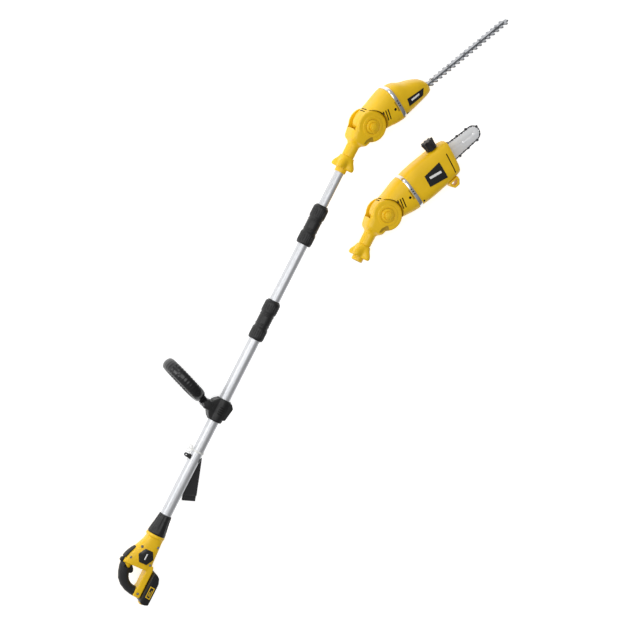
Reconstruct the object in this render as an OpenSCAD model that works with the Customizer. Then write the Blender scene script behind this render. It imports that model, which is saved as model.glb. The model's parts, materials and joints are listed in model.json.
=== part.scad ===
// Two-in-one cordless pole tool: a three-section telescoping pole with a rear battery
// handle, a loop handle and a hedge-trimmer head, and the pole-saw head beside it.
// The tool lies on its side. Tool frame: x along the pole towards the head, y to the
// loop handle's side, z to the tool's right side. Units are millimetres.

/* [Pole] */
// Outside diameter of the lower tube
lower_d = 36; // [34:0.5:38]
// Wall of each tube
tube_wall = 1.45; // [1.2:0.05:1.6]
// Front end of the lower lock collar
lower_collar_end = 678; // [640:1:720]
// Front end of the upper lock collar
upper_collar_end = 1008; // [980:1:1030]
// Length of each lock collar
collar_len = 134; // [110:1:150]
// Largest diameter of each lock collar
collar_d = 50; // [46:1:56]
// Place of the head's lock nut along the pole
nut_x = 1155; // [1150:1:1180]

/* [Rear handle] */
// Half width of the handle's body
body_half = 24; // [20:1:28]
// Half width of the loop grip
grip_half = 17; // [14:1:20]
// Wall of the moulded shells
shell_wall = 2.6; // [2:0.1:3.2]
// Half width of the battery
battery_half = 36; // [34:1:40]

/* [Loop handle] */
// Half width of the loop, which the tool lies on
loop_half = 70; // [62:1:78]
// Height of the loop above its pivot
loop_h = 186; // [150:1:200]
// Lean of the loop towards the head
loop_lean = 20; // [10:1:28]
// Half thickness of the loop's bar
loop_r = 13; // [11:0.5:15]
// Half width of the loop's bar
loop_wide = 20; // [14:1:22]
// Place of the loop's pivot along the pole
loop_x = 301; // [290:1:330]

/* [Heads] */
// Roll of the hedge head about the pole
hedge_roll = 9; // [0:1:9]
// Angle of the hedge head below the line of the pole
hedge_angle = 25.9; // [0:0.1:40]
// Angle of the saw head below the line of its neck
saw_angle = 24.3; // [0:0.1:40]
// Half width of each motor housing
head_half = 48; // [44:1:54]
// Radius of the motor housing at the steel ring
ring_r = 60; // [54:1:64]
// Length of the hedge blades from the pivot to the tip
blade_reach = 580; // [500:1:600]
// Width of the hedge blades over the teeth
blade_w = 50; // [44:1:56]
// Reach of the saw chain from the pivot
bar_reach = 418; // [400:1:430]

/* [Hidden] */
$fn = 48;

yellow = [0.95, 0.72, 0.05];
black = [0.09, 0.09, 0.10];
silver = [0.80, 0.81, 0.83];
steel = [0.62, 0.63, 0.65];
white = [0.93, 0.93, 0.93];

run_gap = 0.05;
free_gap = 0.3;
big = 400;

middle_d = lower_d - 2 * tube_wall - 2 * run_gap;
upper_d = middle_d - 2 * tube_wall - 2 * run_gap;
lower_start = -150;
lower_end = lower_collar_end - 70;
middle_start = 110;
middle_end = upper_collar_end - 70;
upper_start = 440;
upper_end = nut_x + 42;
collet_wall = 1.9;

neck_len = 140;
pivot_drop = 12;
axis_lift = 5;
hub_r = 50;
ear_in = 27;
ear_out = 37;
button_r = 22;
ring_x = 108;
ring_w = 12;
saw_nut = [937, -190];

blade_y = -30;
blade_t = 2.4;
tooth_pitch = 18.75;
tooth_count = 18;
bar_z = -18;
bar_y = 5;

screw_places = [[-166, -20], [-226, 46], [-226, -22], [-322, -28], [-182, 28]];
screw_r = 3.2;

battery_front = -238;
battery_rear = -346;
battery_top = -41;
battery_low = -72;
latch_out = 4;

// A point of a head in the tool frame, from its own axes and its pivot
function head_point(pivot, angle, x, y) = [
    pivot[0] + x * cos(angle) + (y + axis_lift) * sin(angle),
    pivot[1] - x * sin(angle) + (y + axis_lift) * cos(angle)
];
hedge_pivot = [nut_x + neck_len, -pivot_drop];
saw_pivot = [saw_nut[0] + neck_len, saw_nut[1] - pivot_drop];
loop_pivot = [loop_x, 49];

x_low = battery_rear - latch_out;
x_high = head_point(hedge_pivot, hedge_angle, blade_reach, blade_y + blade_t)[0];
y_high = loop_pivot[1] + (loop_h - loop_r) * cos(loop_lean) +
    norm([loop_r * cos(loop_lean), loop_wide * sin(loop_lean)]);
y_low = min(head_point(saw_pivot, saw_angle, 246, -82)[1],
    head_point(saw_pivot, saw_angle, bar_reach - 27, bar_y)[1] - 27);
shift_x = -(x_low + x_high) / 2;
shift_y = -(y_low + y_high) / 2;

// Places of the assemblies
module tool() {
    translate([shift_x, shift_y, loop_half])
        children();
}
module hedge_neck_place() {
    tool()
        rotate([hedge_roll, 0, 0])
            translate([nut_x, 0, 0])
                children();
}
module saw_neck_place() {
    translate([shift_x + saw_nut[0], shift_y + saw_nut[1], head_half])
        children();
}
// From a neck's own axes to its head's
module at_head(angle) {
    translate([neck_len, -pivot_drop, 0])
        rotate([0, 0, -angle])
            translate([0, axis_lift, 0])
                children();
}
module hedge_place() {
    hedge_neck_place()
        at_head(hedge_angle)
            children();
}
module saw_place() {
    saw_neck_place()
        at_head(saw_angle)
            children();
}

// Basic forms
module rod_x(x0, x1, r) {
    translate([x0, 0, 0])
        rotate([0, 90, 0])
            cylinder(r = r, h = x1 - x0);
}
module pipe_x(x0, x1, r, r_in) {
    difference() {
        rod_x(x0, x1, r);
        rod_x(x0 - 1, x1 + 1, r_in);
    }
}
module rod_z(p, z0, z1, r) {
    translate([p[0], p[1], z0])
        cylinder(r = r, h = z1 - z0);
}
// A turned body about the x axis, from [x, radius] points
module turned_x(points) {
    rotate([90, 0, 90])
        rotate_extrude($fn = 96)
            polygon([for (p = points) [p[1], p[0]]]);
}
module slab(z0, z1) {
    translate([0, 0, z0])
        linear_extrude(height = z1 - z0)
            children();
}
module block(x, y, z) {
    translate([x[0], y[0], z[0]])
        cube([x[1] - x[0], y[1] - y[0], z[1] - z[0]]);
}
module rounded(r) {
    offset(r = r, $fn = 32)
        offset(delta = -r)
            children();
}

// ---- Rear handle ----

module handle_outline() {
    rounded(5)
        polygon([
            [-132, 27], [-148, 25], [-172, 36], [-192, 44], [-214, 55], [-240, 62],
            [-266, 61], [-290, 56], [-312, 46], [-326, 31], [-334, 10], [-335, -14],
            [-336, -40.6], [-240, -40.6], [-222, -31], [-148, -29], [-132, -27]
        ]);
}
module handle_opening() {
    rounded(8)
        polygon([
            [-234, 10], [-232, -8], [-246, -17], [-298, -18], [-308, -4], [-305, 10],
            [-284, 22], [-248, 28]
        ]);
}
// The stretch of the handle that the soft grip wraps
module grip_zone() {
    polygon([[-262, 90], [-262, 5], [-292, 5], [-292, -12], [-360, -12], [-360, 90]]);
}
module handle_profile() {
    difference() {
        handle_outline();
        handle_opening();
    }
}
module grip_profile() {
    intersection() {
        handle_profile();
        grip_zone();
    }
}
module grip_core() {
    intersection() {
        offset(delta = -3)
            handle_profile();
        grip_zone();
    }
}
module trigger_room() {
    block([-281, -243], [20, 44], [-8.5, 8.5]);
}
module button_room() {
    block([-255.5, -234.5], [50, 80], [-8.5, 8.5]);
}
module handle_solid() {
    difference() {
        slab(-body_half, body_half)
            handle_profile();
        slab(-big, big)
            grip_zone();
    }
    rod_x(-142, -132, 31);
    slab(-grip_half + 3, grip_half - 3)
        grip_core();
}
module handle_hollow() {
    slab(-body_half + shell_wall, body_half - shell_wall)
        difference() {
            offset(delta = -shell_wall)
                handle_profile();
            grip_zone();
        }
    slab(-grip_half + 5.2, grip_half - 5.2)
        intersection() {
            offset(delta = -3 - shell_wall)
                handle_profile();
            grip_zone();
        }
}
module handle_whole() {
    difference() {
        handle_solid();
        handle_hollow();
        trigger_room();
        button_room();
        rod_x(lower_start - 1, -100, lower_d / 2);
        block([-330, -250], [-50, -34], [-14, 14]);
        for (p = screw_places)
            rod_z(p, body_half - shell_wall - 1, body_half + 1, screw_r + run_gap);
    }
}
module handle_half(side) {
    color(yellow)
        tool()
            intersection() {
                handle_whole();
                translate([-big, -big, side > 0 ? 0 : -big])
                    cube([2 * big, 2 * big, big]);
            }
}
module handle_shell_right() {
    handle_half(1);
}
module handle_shell_left() {
    handle_half(-1);
}
module rear_grip() {
    color(black)
        tool()
            difference() {
                slab(-grip_half, grip_half)
                    grip_profile();
                slab(-grip_half + 3, grip_half - 3)
                    grip_core();
                trigger_room();
            }
}
module hex_badges() {
    color(black)
        tool()
            for (side = [-1, 1])
                rod_z([-208, 0], side > 0 ? body_half : -body_half - 2.5,
                    side > 0 ? body_half + 2.5 : -body_half, 27, $fn = 6);
}
module trigger() {
    color(black)
        tool() {
            slab(-7.5, 7.5)
                polygon([[-245, 38], [-250, 38], [-274, 33], [-276, 20], [-268, 13],
                    [-256, 16], [-247, 26]]);
            rod_z([-247, 37], -8.3, 8.3, 3);
        }
}
module lock_off_button() {
    color(black)
        tool()
            slab(-7.5, 7.5)
                rounded(2)
                    polygon([[-254, 52], [-254, 65], [-249, 68], [-241, 68], [-236, 65], [-236, 52]]);
}
module trigger_switch() {
    color(steel)
        tool()
            block([-232, -208], [24, 40], [-8, 8]);
}
module battery_terminals() {
    color(black)
        tool() {
            block([-326, -254], [-41, -32], [-13, 13]);
        }
}
module tube_boot() {
    color(black)
        tool()
            difference() {
                turned_x([[-132, 0], [-132, 28.5], [-126, 28], [-68, 20.5], [-65, 19.5], [-65, 0]]);
                rod_x(-150, -60, lower_d / 2);
            }
}
module handle_screws() {
    color(steel)
        tool()
            for (p = screw_places)
                rod_z(p, body_half - shell_wall, body_half + 0.6, screw_r);
}

// ---- Battery ----

module battery_outline() {
    rounded(3)
        polygon([
            [battery_rear, battery_top - 8], [battery_rear + 8, battery_top],
            [battery_front, battery_top], [battery_front - 4, battery_top - 14],
            [battery_front - 12, battery_low + 7], [battery_front - 30, battery_low],
            [battery_rear + 4, battery_low], [battery_rear, battery_low + 12]
        ]);
}
module battery_case() {
    color(black)
        tool()
            difference() {
                slab(-battery_half, battery_half)
                    battery_outline();
                slab(-battery_half + 2, battery_half - 2)
                    offset(delta = -2)
                        battery_outline();
                block([-330, -250], [-45, -35], [-14, 14]);
                block([-352, -342], [-62.5, -49.5], [-13, 13]);
            }
}
module battery_label() {
    color(yellow)
        tool()
            slab(battery_half, battery_half + 1)
                polygon([[-318, -56], [-282, -56], [-284, -66], [-320, -66]]);
}
module battery_latch() {
    color(yellow)
        tool()
            block([battery_rear - latch_out, battery_rear + 2], [-62, -50], [-12.5, 12.5]);
}
module battery_cells() {
    color(steel)
        tool()
            for (i = [0:4])
                rod_z([-331.7 + i * 18.2, -56], -32.5, 32.5, 9);
}

// ---- Pole ----

module lower_tube() {
    color(silver)
        tool()
            pipe_x(lower_start, lower_end, lower_d / 2, lower_d / 2 - tube_wall);
}
module middle_tube() {
    color(silver)
        tool()
            pipe_x(middle_start, middle_end, middle_d / 2, middle_d / 2 - tube_wall);
}
module upper_tube() {
    color(silver)
        tool()
            pipe_x(upper_start, upper_end, upper_d / 2, upper_d / 2 - tube_wall);
}
// Split collet: clamped on the outer tube, guides the inner one
module collet(end, outer_d, inner_d) {
    tool()
        difference() {
            rod_x(end - 44, end + 40, outer_d / 2 + collet_wall);
            rod_x(end - 45, end, outer_d / 2);
            rod_x(end - 1, end + 41, inner_d / 2 + run_gap);
            block([end + 12, end + 41], [0, 40], [-1, 1]);
        }
}
// Twist sleeve with a waisted grip
module lock_collar(front, outer_d, inner_d) {
    back = front - collar_len;
    r = collar_d / 2;
    waist = outer_d / 2 + collet_wall + free_gap + 1.6;
    tool()
        difference() {
            turned_x([[back, 0], [back, r - 4], [back + 4, r - 0.6], [back + 10, r],
                [back + 38, r], [back + 42, r - 1.5], [back + 46, waist], [front - 46, waist],
                [front - 42, r - 1.5], [front - 38, r], [front - 10, r], [front - 4, r - 0.6],
                [front, r - 4], [front, 0]]);
            rod_x(back - 1, front - 6, outer_d / 2 + free_gap);
            rod_x(back + 6, front - 6, outer_d / 2 + collet_wall + free_gap);
            rod_x(front - 7, front + 1, inner_d / 2 + free_gap);
        }
}
module lower_lock_collar() {
    color(black)
        lock_collar(lower_collar_end, lower_d, middle_d);
}
module lower_collet() {
    color(black)
        collet(lower_end, lower_d, middle_d);
}
module upper_lock_collar() {
    color(black)
        lock_collar(upper_collar_end, middle_d, upper_d);
}
module upper_collet() {
    color(black)
        collet(middle_end, middle_d, upper_d);
}
module coiled_cable() {
    color(black)
        tool()
            pipe_x(-120, 760, 10, 5.5);
}
module pole_plug() {
    color(black)
        tool() {
            rod_x(upper_end - 38, upper_end, upper_d / 2 - tube_wall);
            for (z = [-5, 5])
                translate([0, 0, z])
                    rod_x(upper_end, upper_end + 10, 1.6);
        }
}

// ---- Loop handle ----

// Corners of the loop's centre line, [sideways, height], going round
function loop_corners() = let (w = loop_half - loop_r, h = loop_h - loop_r) [
    [-26, 34], [26, 34], [w, 66], [w, h - 36], [w - 34, h], [34 - w, h], [-w, h - 36], [-w, 66]
];
// Corner cutting: each pass rounds the line once more
function cut_corners(p, passes) = passes == 0 ? p : cut_corners([
    for (i = [0:len(p) - 1])
        let (a = p[i], b = p[(i + 1) % len(p)])
            each [0.75 * a + 0.25 * b, 0.25 * a + 0.75 * b]
], passes - 1);
// A closed bar swept along a flat closed line in the x = 0 plane
module swept_ring(line, r, wide, sides) {
    n = len(line);
    points = [
        for (i = [0:n - 1])
            let (d = line[(i + 1) % n] - line[(i + n - 1) % n], u = d / norm(d))
                for (j = [0:sides - 1])
                    let (a = 360 * j / sides)
                        [wide * cos(a), line[i][1] - r * sin(a) * u[0], line[i][0] + r * sin(a) * u[1]]
    ];
    faces = [
        for (i = [0:n - 1])
            for (j = [0:sides - 1])
                let (k = (i + 1) % n, m = (j + 1) % sides)
                    [i * sides + j, i * sides + m, k * sides + m, k * sides + j]
    ];
    polyhedron(points, faces);
}
module loop_handle() {
    color(black)
        tool()
            translate([loop_pivot[0], loop_pivot[1], 0])
                rotate([0, 0, -loop_lean]) {
                    difference() {
                        union() {
                            rod_z([0, 0], -12, 12, 15);
                            block([-9, 9], [4, 30], [-12, 12]);
                        }
                        rod_z([0, 0], -13, 13, 4.05);
                    }
                    swept_ring(cut_corners(loop_corners(), 2), loop_r, loop_wide, 16);
                }
}
module loop_clamp() {
    color(black)
        tool()
            difference() {
                union() {
                    rod_x(262, 336, 25);
                    slab(-20, 20)
                        polygon([[264, 0], [264, 24], [280, 36], [320, 36], [334, 22], [334, 0],
                            [334, -26], [320, -36], [276, -28]]);
                    for (z = [-20, 12.6])
                        slab(z, z + 7.4)
                            union() {
                                translate(loop_pivot)
                                    circle(r = 15);
                                translate([loop_x - 15, 20])
                                    square([30, 29]);
                            }
                }
                rod_x(250, 350, lower_d / 2 + run_gap);
                rod_z(loop_pivot, -12.6, 12.6, 34.5 - 18);
                rod_z(loop_pivot, -30, 30, 4.05);
                block([258, 340], [-60, 0], [-1.2, 1.2]);
            }
}
module clamp_knob() {
    color(black)
        tool() {
            rod_z(loop_pivot, -24, 32, 4);
            rod_z(loop_pivot, -26, -20.3, 8, $fn = 6);
            difference() {
                rod_z(loop_pivot, 20.3, 36, 16);
                for (a = [0:60:359])
                    rod_z([loop_pivot[0] + 19 * cos(a), loop_pivot[1] + 19 * sin(a)], 19, 37, 6);
            }
        }
}

// ---- Strap, hook and tie ----

module shoulder_strap() {
    color(black)
        tool()
            slab(-40, -24)
                rounded(3)
                    polygon([[150, 4], [146, -30], [8, -84], [-8, -44], [114, 8]]);
}
module strap_hook() {
    color(black)
        tool()
            difference() {
                union() {
                    rod_x(124, 138, 20.5);
                    block([125, 137], [17, 30], [-5, 5]);
                    translate([131, 30, -5])
                        cylinder(r = 6, h = 10);
                    block([125, 137], [-14, 12], [-24, -16]);
                }
                rod_x(120, 142, lower_d / 2);
                rod_z([131, 30], -6, 6, 3);
                block([120, 142], [-14.5, 16.5], [4, 24]);
            }
}
module twist_tie() {
    color(white)
        tool() {
            translate([153, 0, 0])
                rotate([0, 90, 0])
                    rotate_extrude($fn = 64)
                        translate([lower_d / 2 + 1.1, 0])
                            circle(r = 1.1, $fn = 16);
            translate([157.3, 24.3, 0])
                rotate_extrude($fn = 32)
                    translate([5, 0])
                        circle(r = 1.1, $fn = 16);
        }
}

// ---- Parts that both heads share ----

module neck() {
    difference() {
        union() {
            rod_x(-30, 92, 18.4);
            rod_x(28, 92, 20);
            slab(-ear_out, ear_out)
                polygon([[66, 20], [80, 31], [110, 38], [110, -44], [80, -32], [66, -20]]);
            rod_z([neck_len, -pivot_drop], -ear_out, ear_out, hub_r);
        }
        rod_x(-31, 46, upper_d / 2 + run_gap);
        rod_x(40, 60, 13);
        rod_z([neck_len, -pivot_drop], -ear_in, ear_in, hub_r + 8);
        rod_z([neck_len, -pivot_drop], -big, big, 6.05);
        rod_z([neck_len, -pivot_drop], ear_out - 7.8, big, button_r + free_gap);
        rod_z([neck_len, -pivot_drop], -big, 4 - ear_out, 13.3);
    }
}
// Four-lobed twist nut
module lock_nut() {
    difference() {
        union() {
            rod_x(-16, 24, 27);
            for (a = [45:90:359])
                rotate([a, 0, 0])
                    translate([0, 27, 0])
                        rod_x(-14, 20, 11);
        }
        rod_x(-20, 30, 18.4 + free_gap);
    }
}
module pivot_axle() {
    p = [0, -axis_lift];
    rod_z(p, -ear_out + 0.5, ear_out - 4.5, 6);
    rod_z(p, -ear_out + 0.5, -ear_out + 3.7, 13);
}
module tilt_button() {
    difference() {
        union() {
            rod_z([0, -axis_lift], ear_out - 3.9, ear_out + 4, button_r);
            rod_z([0, -axis_lift], ear_out + 4, ear_out + 11, 13);
        }
        rod_z([0, -axis_lift], ear_out - 4, ear_out + 0.5, 6.4);
    }
}
module housing_solid() {
    difference() {
        intersection() {
            turned_x([[-39, 0], [-39, 18], [-30, 32], [-12, 40], [20, 43], [52, 50],
                [78, 57], [ring_x - 6, ring_r], [ring_x + 8, ring_r], [ring_x + 8, 0]]);
            block([-60, 140], [-80, 80], [-head_half, head_half]);
        }
        for (side = [-1, 1])
            rod_z([0, -axis_lift], side > 0 ? ear_in - 0.4 : -big, side > 0 ? big : 0.4 - ear_in, hub_r + 4);
    }
}
module housing_hollow() {
    difference() {
        intersection() {
            turned_x([[-36, 0], [-36, 15], [-28, 29], [-12, 37], [20, 40], [52, 47],
                [78, 54], [ring_x - 6, ring_r - 3], [ring_x + 9, ring_r - 3], [ring_x + 9, 0]]);
            block([-60, 140], [-80, 80], [-head_half + 3, head_half - 3]);
        }
        for (side = [-1, 1])
            rod_z([0, -axis_lift], side > 0 ? ear_in - 3.4 : -big, side > 0 ? big : 3.4 - ear_in, hub_r + 7);
        rod_z([0, -axis_lift], -big, big, 12);
    }
}
module housing_half(side) {
    difference() {
        housing_solid();
        housing_hollow();
        rod_z([0, -axis_lift], -big, big, 6.05);
        translate([ring_x - 7, 0, 0])
            rotate([0, 90, 0])
                difference() {
                    cylinder(r = ring_r + 20, h = ring_w + 2);
                    translate([0, 0, -1])
                        cylinder(r = ring_r - 1.2, h = ring_w + 4);
                }
        translate([-big, -big, side > 0 ? -big : 0])
            cube([2 * big, 2 * big, big]);
        if (side > 0)
            for (i = [0:2])
                translate([55 + i * 9, -15 + i * 2, head_half - 8])
                    cube([4, 27, 30]);
    }
}
module steel_ring() {
    intersection() {
        pipe_x(ring_x - 6, ring_x + 6, ring_r + 1, ring_r - 1.2);
        block([0, 200], [-80, 80], [-head_half, head_half]);
    }
}
module motor() {
    rod_x(28, 96, 22);
    rod_x(96, 108, 9);
    rod_x(108, 112, 5);
}

// ---- Hedge-trimmer head ----

module hedge_neck() {
    color(yellow)
        hedge_neck_place()
            neck();
}
module hedge_lock_nut() {
    color(yellow)
        hedge_neck_place()
            lock_nut();
}
module hedge_pivot_axle() {
    color(steel)
        hedge_place()
            pivot_axle();
}
module hedge_tilt_button() {
    color(yellow)
        hedge_place()
            tilt_button();
}
module hedge_housing_right() {
    color(yellow)
        hedge_place()
            housing_half(1);
}
module hedge_housing_left() {
    color(yellow)
        hedge_place()
            housing_half(-1);
}
module hedge_ring() {
    color(silver)
        hedge_place()
            steel_ring();
}
module hedge_badge_form(grow) {
    translate([150, 0, 41])
        rotate([0, 7.3, 0])
            slab(-grow, 2.2)
                offset(delta = grow)
                    polygon([[-14, 0], [-10, -30], [46, -33], [64, -14]]);
}
module hedge_badge() {
    color(black)
        hedge_place()
            hedge_badge_form(0);
}
module hedge_motor() {
    color(steel)
        hedge_place()
            motor();
}
module gear_case_form(wall) {
    hull() {
        intersection() {
            rod_x(ring_x + 8 + wall, ring_x + 14, ring_r - 4 - wall, $fn = 48);
            block([0, 300], [-80, 80], [-44 + wall, 44 - wall]);
        }
        block([150, 160], [-52 + wall, 42 - wall], [-40 + wall, 40 - wall]);
        block([226 - wall, 232 - wall], [-44 + wall, -4 - wall], [-26 + wall, 26 - wall]);
        block([212, 218], [-50 + wall, 8 - wall], [-32 + wall, 32 - wall]);
    }
}
module hedge_gear_case() {
    color(yellow)
        hedge_place()
            difference() {
                gear_case_form(0);
                gear_case_form(3);
                block([200, 240], [blade_y - 5, blade_y + 12], [-18, 18]);
                rod_x(ring_x, 140, 20);
                hedge_badge_form(run_gap);
            }
}
module hedge_drive_gear() {
    color(steel)
        hedge_place()
            translate([178, -14, 0])
                rotate([90, 0, 0]) {
                    translate([0, 0, -8])
                        cylinder(r = 22, h = 8);
                    translate([6, 0, 0])
                        cylinder(r = 8, h = 10);
                    translate([0, 0, -14])
                        cylinder(r = 5, h = 6);
                }
}
// Outline of a toothed blade in [x, z], with slots for the screws
module blade_shape() {
    body = 9;
    tip = blade_w / 2;
    start = blade_reach - 4 - tooth_pitch * tooth_count;
    difference() {
        union() {
            translate([188, -body])
                square([blade_reach - 188, 2 * body]);
            for (side = [-1, 1])
                for (i = [0:tooth_count - 1])
                    translate([start + i * tooth_pitch, 0])
                        polygon([[0, side * (body - 1)], [3.2, side * (tip - 2)], [5.2, side * tip],
                            [8.2, side * tip], [10.4, side * (tip - 2)], [14.5, side * (body - 1)]]);
        }
        for (i = [0:4])
            translate([262 + i * 68, 0]) {
                translate([-11, -2.9])
                    square([22, 5.8]);
                for (s = [-1, 1])
                    translate([s * 11, 0])
                        circle(r = 2.9);
            }
    }
}
module in_blade_plane(y0, y1) {
    translate([0, y1, 0])
        rotate([90, 0, 0])
            linear_extrude(height = y1 - y0)
                children();
}
module hedge_blade_upper() {
    color(steel)
        hedge_place()
            in_blade_plane(blade_y + 0.05, blade_y + blade_t)
                blade_shape();
}
module hedge_blade_lower() {
    color(steel)
        hedge_place()
            in_blade_plane(blade_y - blade_t, blade_y - 0.05)
                blade_shape();
}
module hedge_blade_bar() {
    color(steel)
        hedge_place()
            in_blade_plane(blade_y + blade_t + 0.1, blade_y + blade_t + 3.6)
                difference() {
                    union() {
                        translate([196, -7])
                            square([blade_reach - 216, 14]);
                        translate([blade_reach - 20, 0])
                            circle(r = 7);
                    }
                    for (i = [0:4])
                        translate([262 + i * 68, 0])
                            circle(r = 2.4);
                }
}
module hedge_blade_screws() {
    color(steel)
        hedge_place()
            for (i = [0:4])
                translate([262 + i * 68, blade_y, 0])
                    rotate([-90, 0, 0]) {
                        translate([0, 0, -blade_t - 2.6])
                            cylinder(r = 5, h = 2.5);
                        translate([0, 0, -blade_t - 0.2])
                            cylinder(r = 2.4, h = blade_t * 2 + 3.8);
                        translate([0, 0, blade_t + 3.6])
                            cylinder(r = 4.6, h = 2.6, $fn = 6);
                    }
}

// ---- Pole-saw head ----

module saw_neck() {
    color(yellow)
        saw_neck_place()
            neck();
}
module saw_lock_nut() {
    color(yellow)
        saw_neck_place()
            lock_nut();
}
module saw_pivot_axle() {
    color(steel)
        saw_place()
            pivot_axle();
}
module saw_tilt_button() {
    color(yellow)
        saw_place()
            tilt_button();
}
module saw_housing_right() {
    color(yellow)
        saw_place()
            housing_half(1);
}
module saw_housing_left() {
    color(yellow)
        saw_place()
            housing_half(-1);
}
module saw_ring() {
    color(silver)
        saw_place()
            steel_ring();
}
module saw_motor() {
    color(steel)
        saw_place()
            motor();
}
module saw_badge() {
    color(black)
        saw_place()
            slab(44.2, 46.5)
                polygon([[168, -20], [172, 20], [232, 24], [226, -22]]);
}
module saw_case_form(wall) {
    hull() {
        intersection() {
            rod_x(ring_x + 8 + wall, ring_x + 14, ring_r - 2 - wall, $fn = 48);
            block([0, 300], [-80, 80], [-13 + wall, 44 - wall]);
        }
        block([150, 254 - wall], [-56 + wall, 60 - wall], [-13 + wall, 44 - wall]);
        block([258, 279 - wall], [-54 + wall, 50 - wall], [-13 + wall, 36 - wall]);
        block([258, 288 - wall], [-30, 58 - wall], [-13 + wall, 30 - wall]);
    }
}
module saw_gear_case() {
    color(yellow)
        saw_place()
            difference() {
                saw_case_form(0);
                saw_case_form(3);
                rod_x(ring_x, 140, 20);
                rod_z([165, bar_y], -20, 0, 6);
                translate([245, 56, 14])
                    rotate([-90, 0, 0])
                        cylinder(r = 9, h = 20);
            }
    color(steel)
        saw_place()
            rod_z([210, bar_y], -48, -10, 4);
}
module side_cover_form(wall) {
    hull() {
        intersection() {
            rod_x(ring_x + 8 + wall, ring_x + 14, ring_r - 2 - wall, $fn = 48);
            block([0, 300], [-80, 80], [-44 + wall, -13.3 + wall]);
        }
        block([150, 245], [-52 + wall, 58 - wall], [-44 + wall, -13.3 + wall]);
        block([255, 277 - wall], [-48 + wall, 52 - wall], [-38 + wall, -13.3 + wall]);
    }
}
module saw_side_cover() {
    color(yellow)
        saw_place()
            difference() {
                side_cover_form(0);
                side_cover_form(3);
                block([225, 300], [-60, 70], [-26, -13]);
                rod_z([210, bar_y], -50, -20, 4.05);
            }
}
module oil_cap() {
    color(black)
        saw_place()
            translate([245, 56.5, 14])
                rotate([-90, 0, 0]) {
                    cylinder(r = 8.6, h = 7);
                    translate([0, 0, 7])
                        difference() {
                            cylinder(r = 18, h = 30);
                            for (a = [0:45:359])
                                rotate([0, 0, a])
                                    translate([21, 0, -1])
                                        cylinder(r = 5.4, h = 32);
                        }
                }
}
// Line of the chain round sprocket and bar, moved outwards by grow
module chain_outline(grow) {
    hull() {
        translate([165, bar_y])
            circle(r = 14 + grow);
        translate([270, bar_y])
            circle(r = 28 + grow);
        translate([bar_reach - 27, bar_y])
            circle(r = 22 + grow);
    }
}
module saw_sprocket() {
    color(steel)
        saw_place() {
            rod_z([165, bar_y], bar_z - 3, bar_z + 3, 10.5);
            rod_z([165, bar_y], bar_z - 5, -8, 5.5);
        }
}
module guide_bar() {
    color(silver)
        saw_place()
            slab(bar_z - 2.2, bar_z + 2.2)
                difference() {
                    intersection() {
                        chain_outline(-0.4);
                        translate([184, -60])
                            square([300, 140]);
                    }
                    for (x = [349, 391])
                        translate([x, bar_y])
                            circle(r = 2.6);
                    translate([210, bar_y])
                        circle(r = 4.1);
                }
}
module saw_chain() {
    color(steel)
        saw_place() {
            slab(bar_z - 3.2, bar_z + 3.2)
                difference() {
                    chain_outline(5);
                    chain_outline(0);
                }
        }
}
module saw_hook() {
    color(yellow)
        saw_place()
            difference() {
                slab(-4, 30)
                    difference() {
                        polygon([[222, -54], [258, -53], [258, -68], [248, -82], [230, -82],
                            [222, -70]]);
                        polygon([[229, -62], [251, -61], [251, -67], [244, -76], [234, -76],
                            [229, -68]]);
                    }
                saw_case_form(-run_gap);
            }
}

handle_shell_right();
handle_shell_left();
rear_grip();
hex_badges();
trigger();
lock_off_button();
trigger_switch();
battery_terminals();
tube_boot();
handle_screws();
battery_case();
battery_label();
battery_latch();
battery_cells();
lower_tube();
lower_lock_collar();
lower_collet();
middle_tube();
upper_lock_collar();
upper_collet();
upper_tube();
coiled_cable();
pole_plug();
loop_handle();
loop_clamp();
clamp_knob();
shoulder_strap();
strap_hook();
twist_tie();
hedge_neck();
hedge_lock_nut();
hedge_pivot_axle();
hedge_tilt_button();
hedge_housing_right();
hedge_housing_left();
hedge_ring();
hedge_badge();
hedge_motor();
hedge_gear_case();
hedge_drive_gear();
hedge_blade_bar();
hedge_blade_upper();
hedge_blade_lower();
hedge_blade_screws();
saw_neck();
saw_lock_nut();
saw_pivot_axle();
saw_tilt_button();
saw_housing_right();
saw_housing_left();
saw_ring();
saw_badge();
saw_motor();
saw_gear_case();
saw_side_cover();
oil_cap();
saw_sprocket();
guide_bar();
saw_chain();
saw_hook();
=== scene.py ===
"""A two-in-one cordless pole tool: telescoping pole, hedge-trimmer head and a spare pole-saw head.

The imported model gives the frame, and every piece here is modelled in millimetres in the frame of
its own assembly, then placed in the row's frame in metres.
"""
import json
import logging
import math
from dataclasses import dataclass, field
from enum import Enum
from typing import Callable, Iterable, Sequence

import bmesh
import bpy
from mathutils import Matrix, Vector

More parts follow.
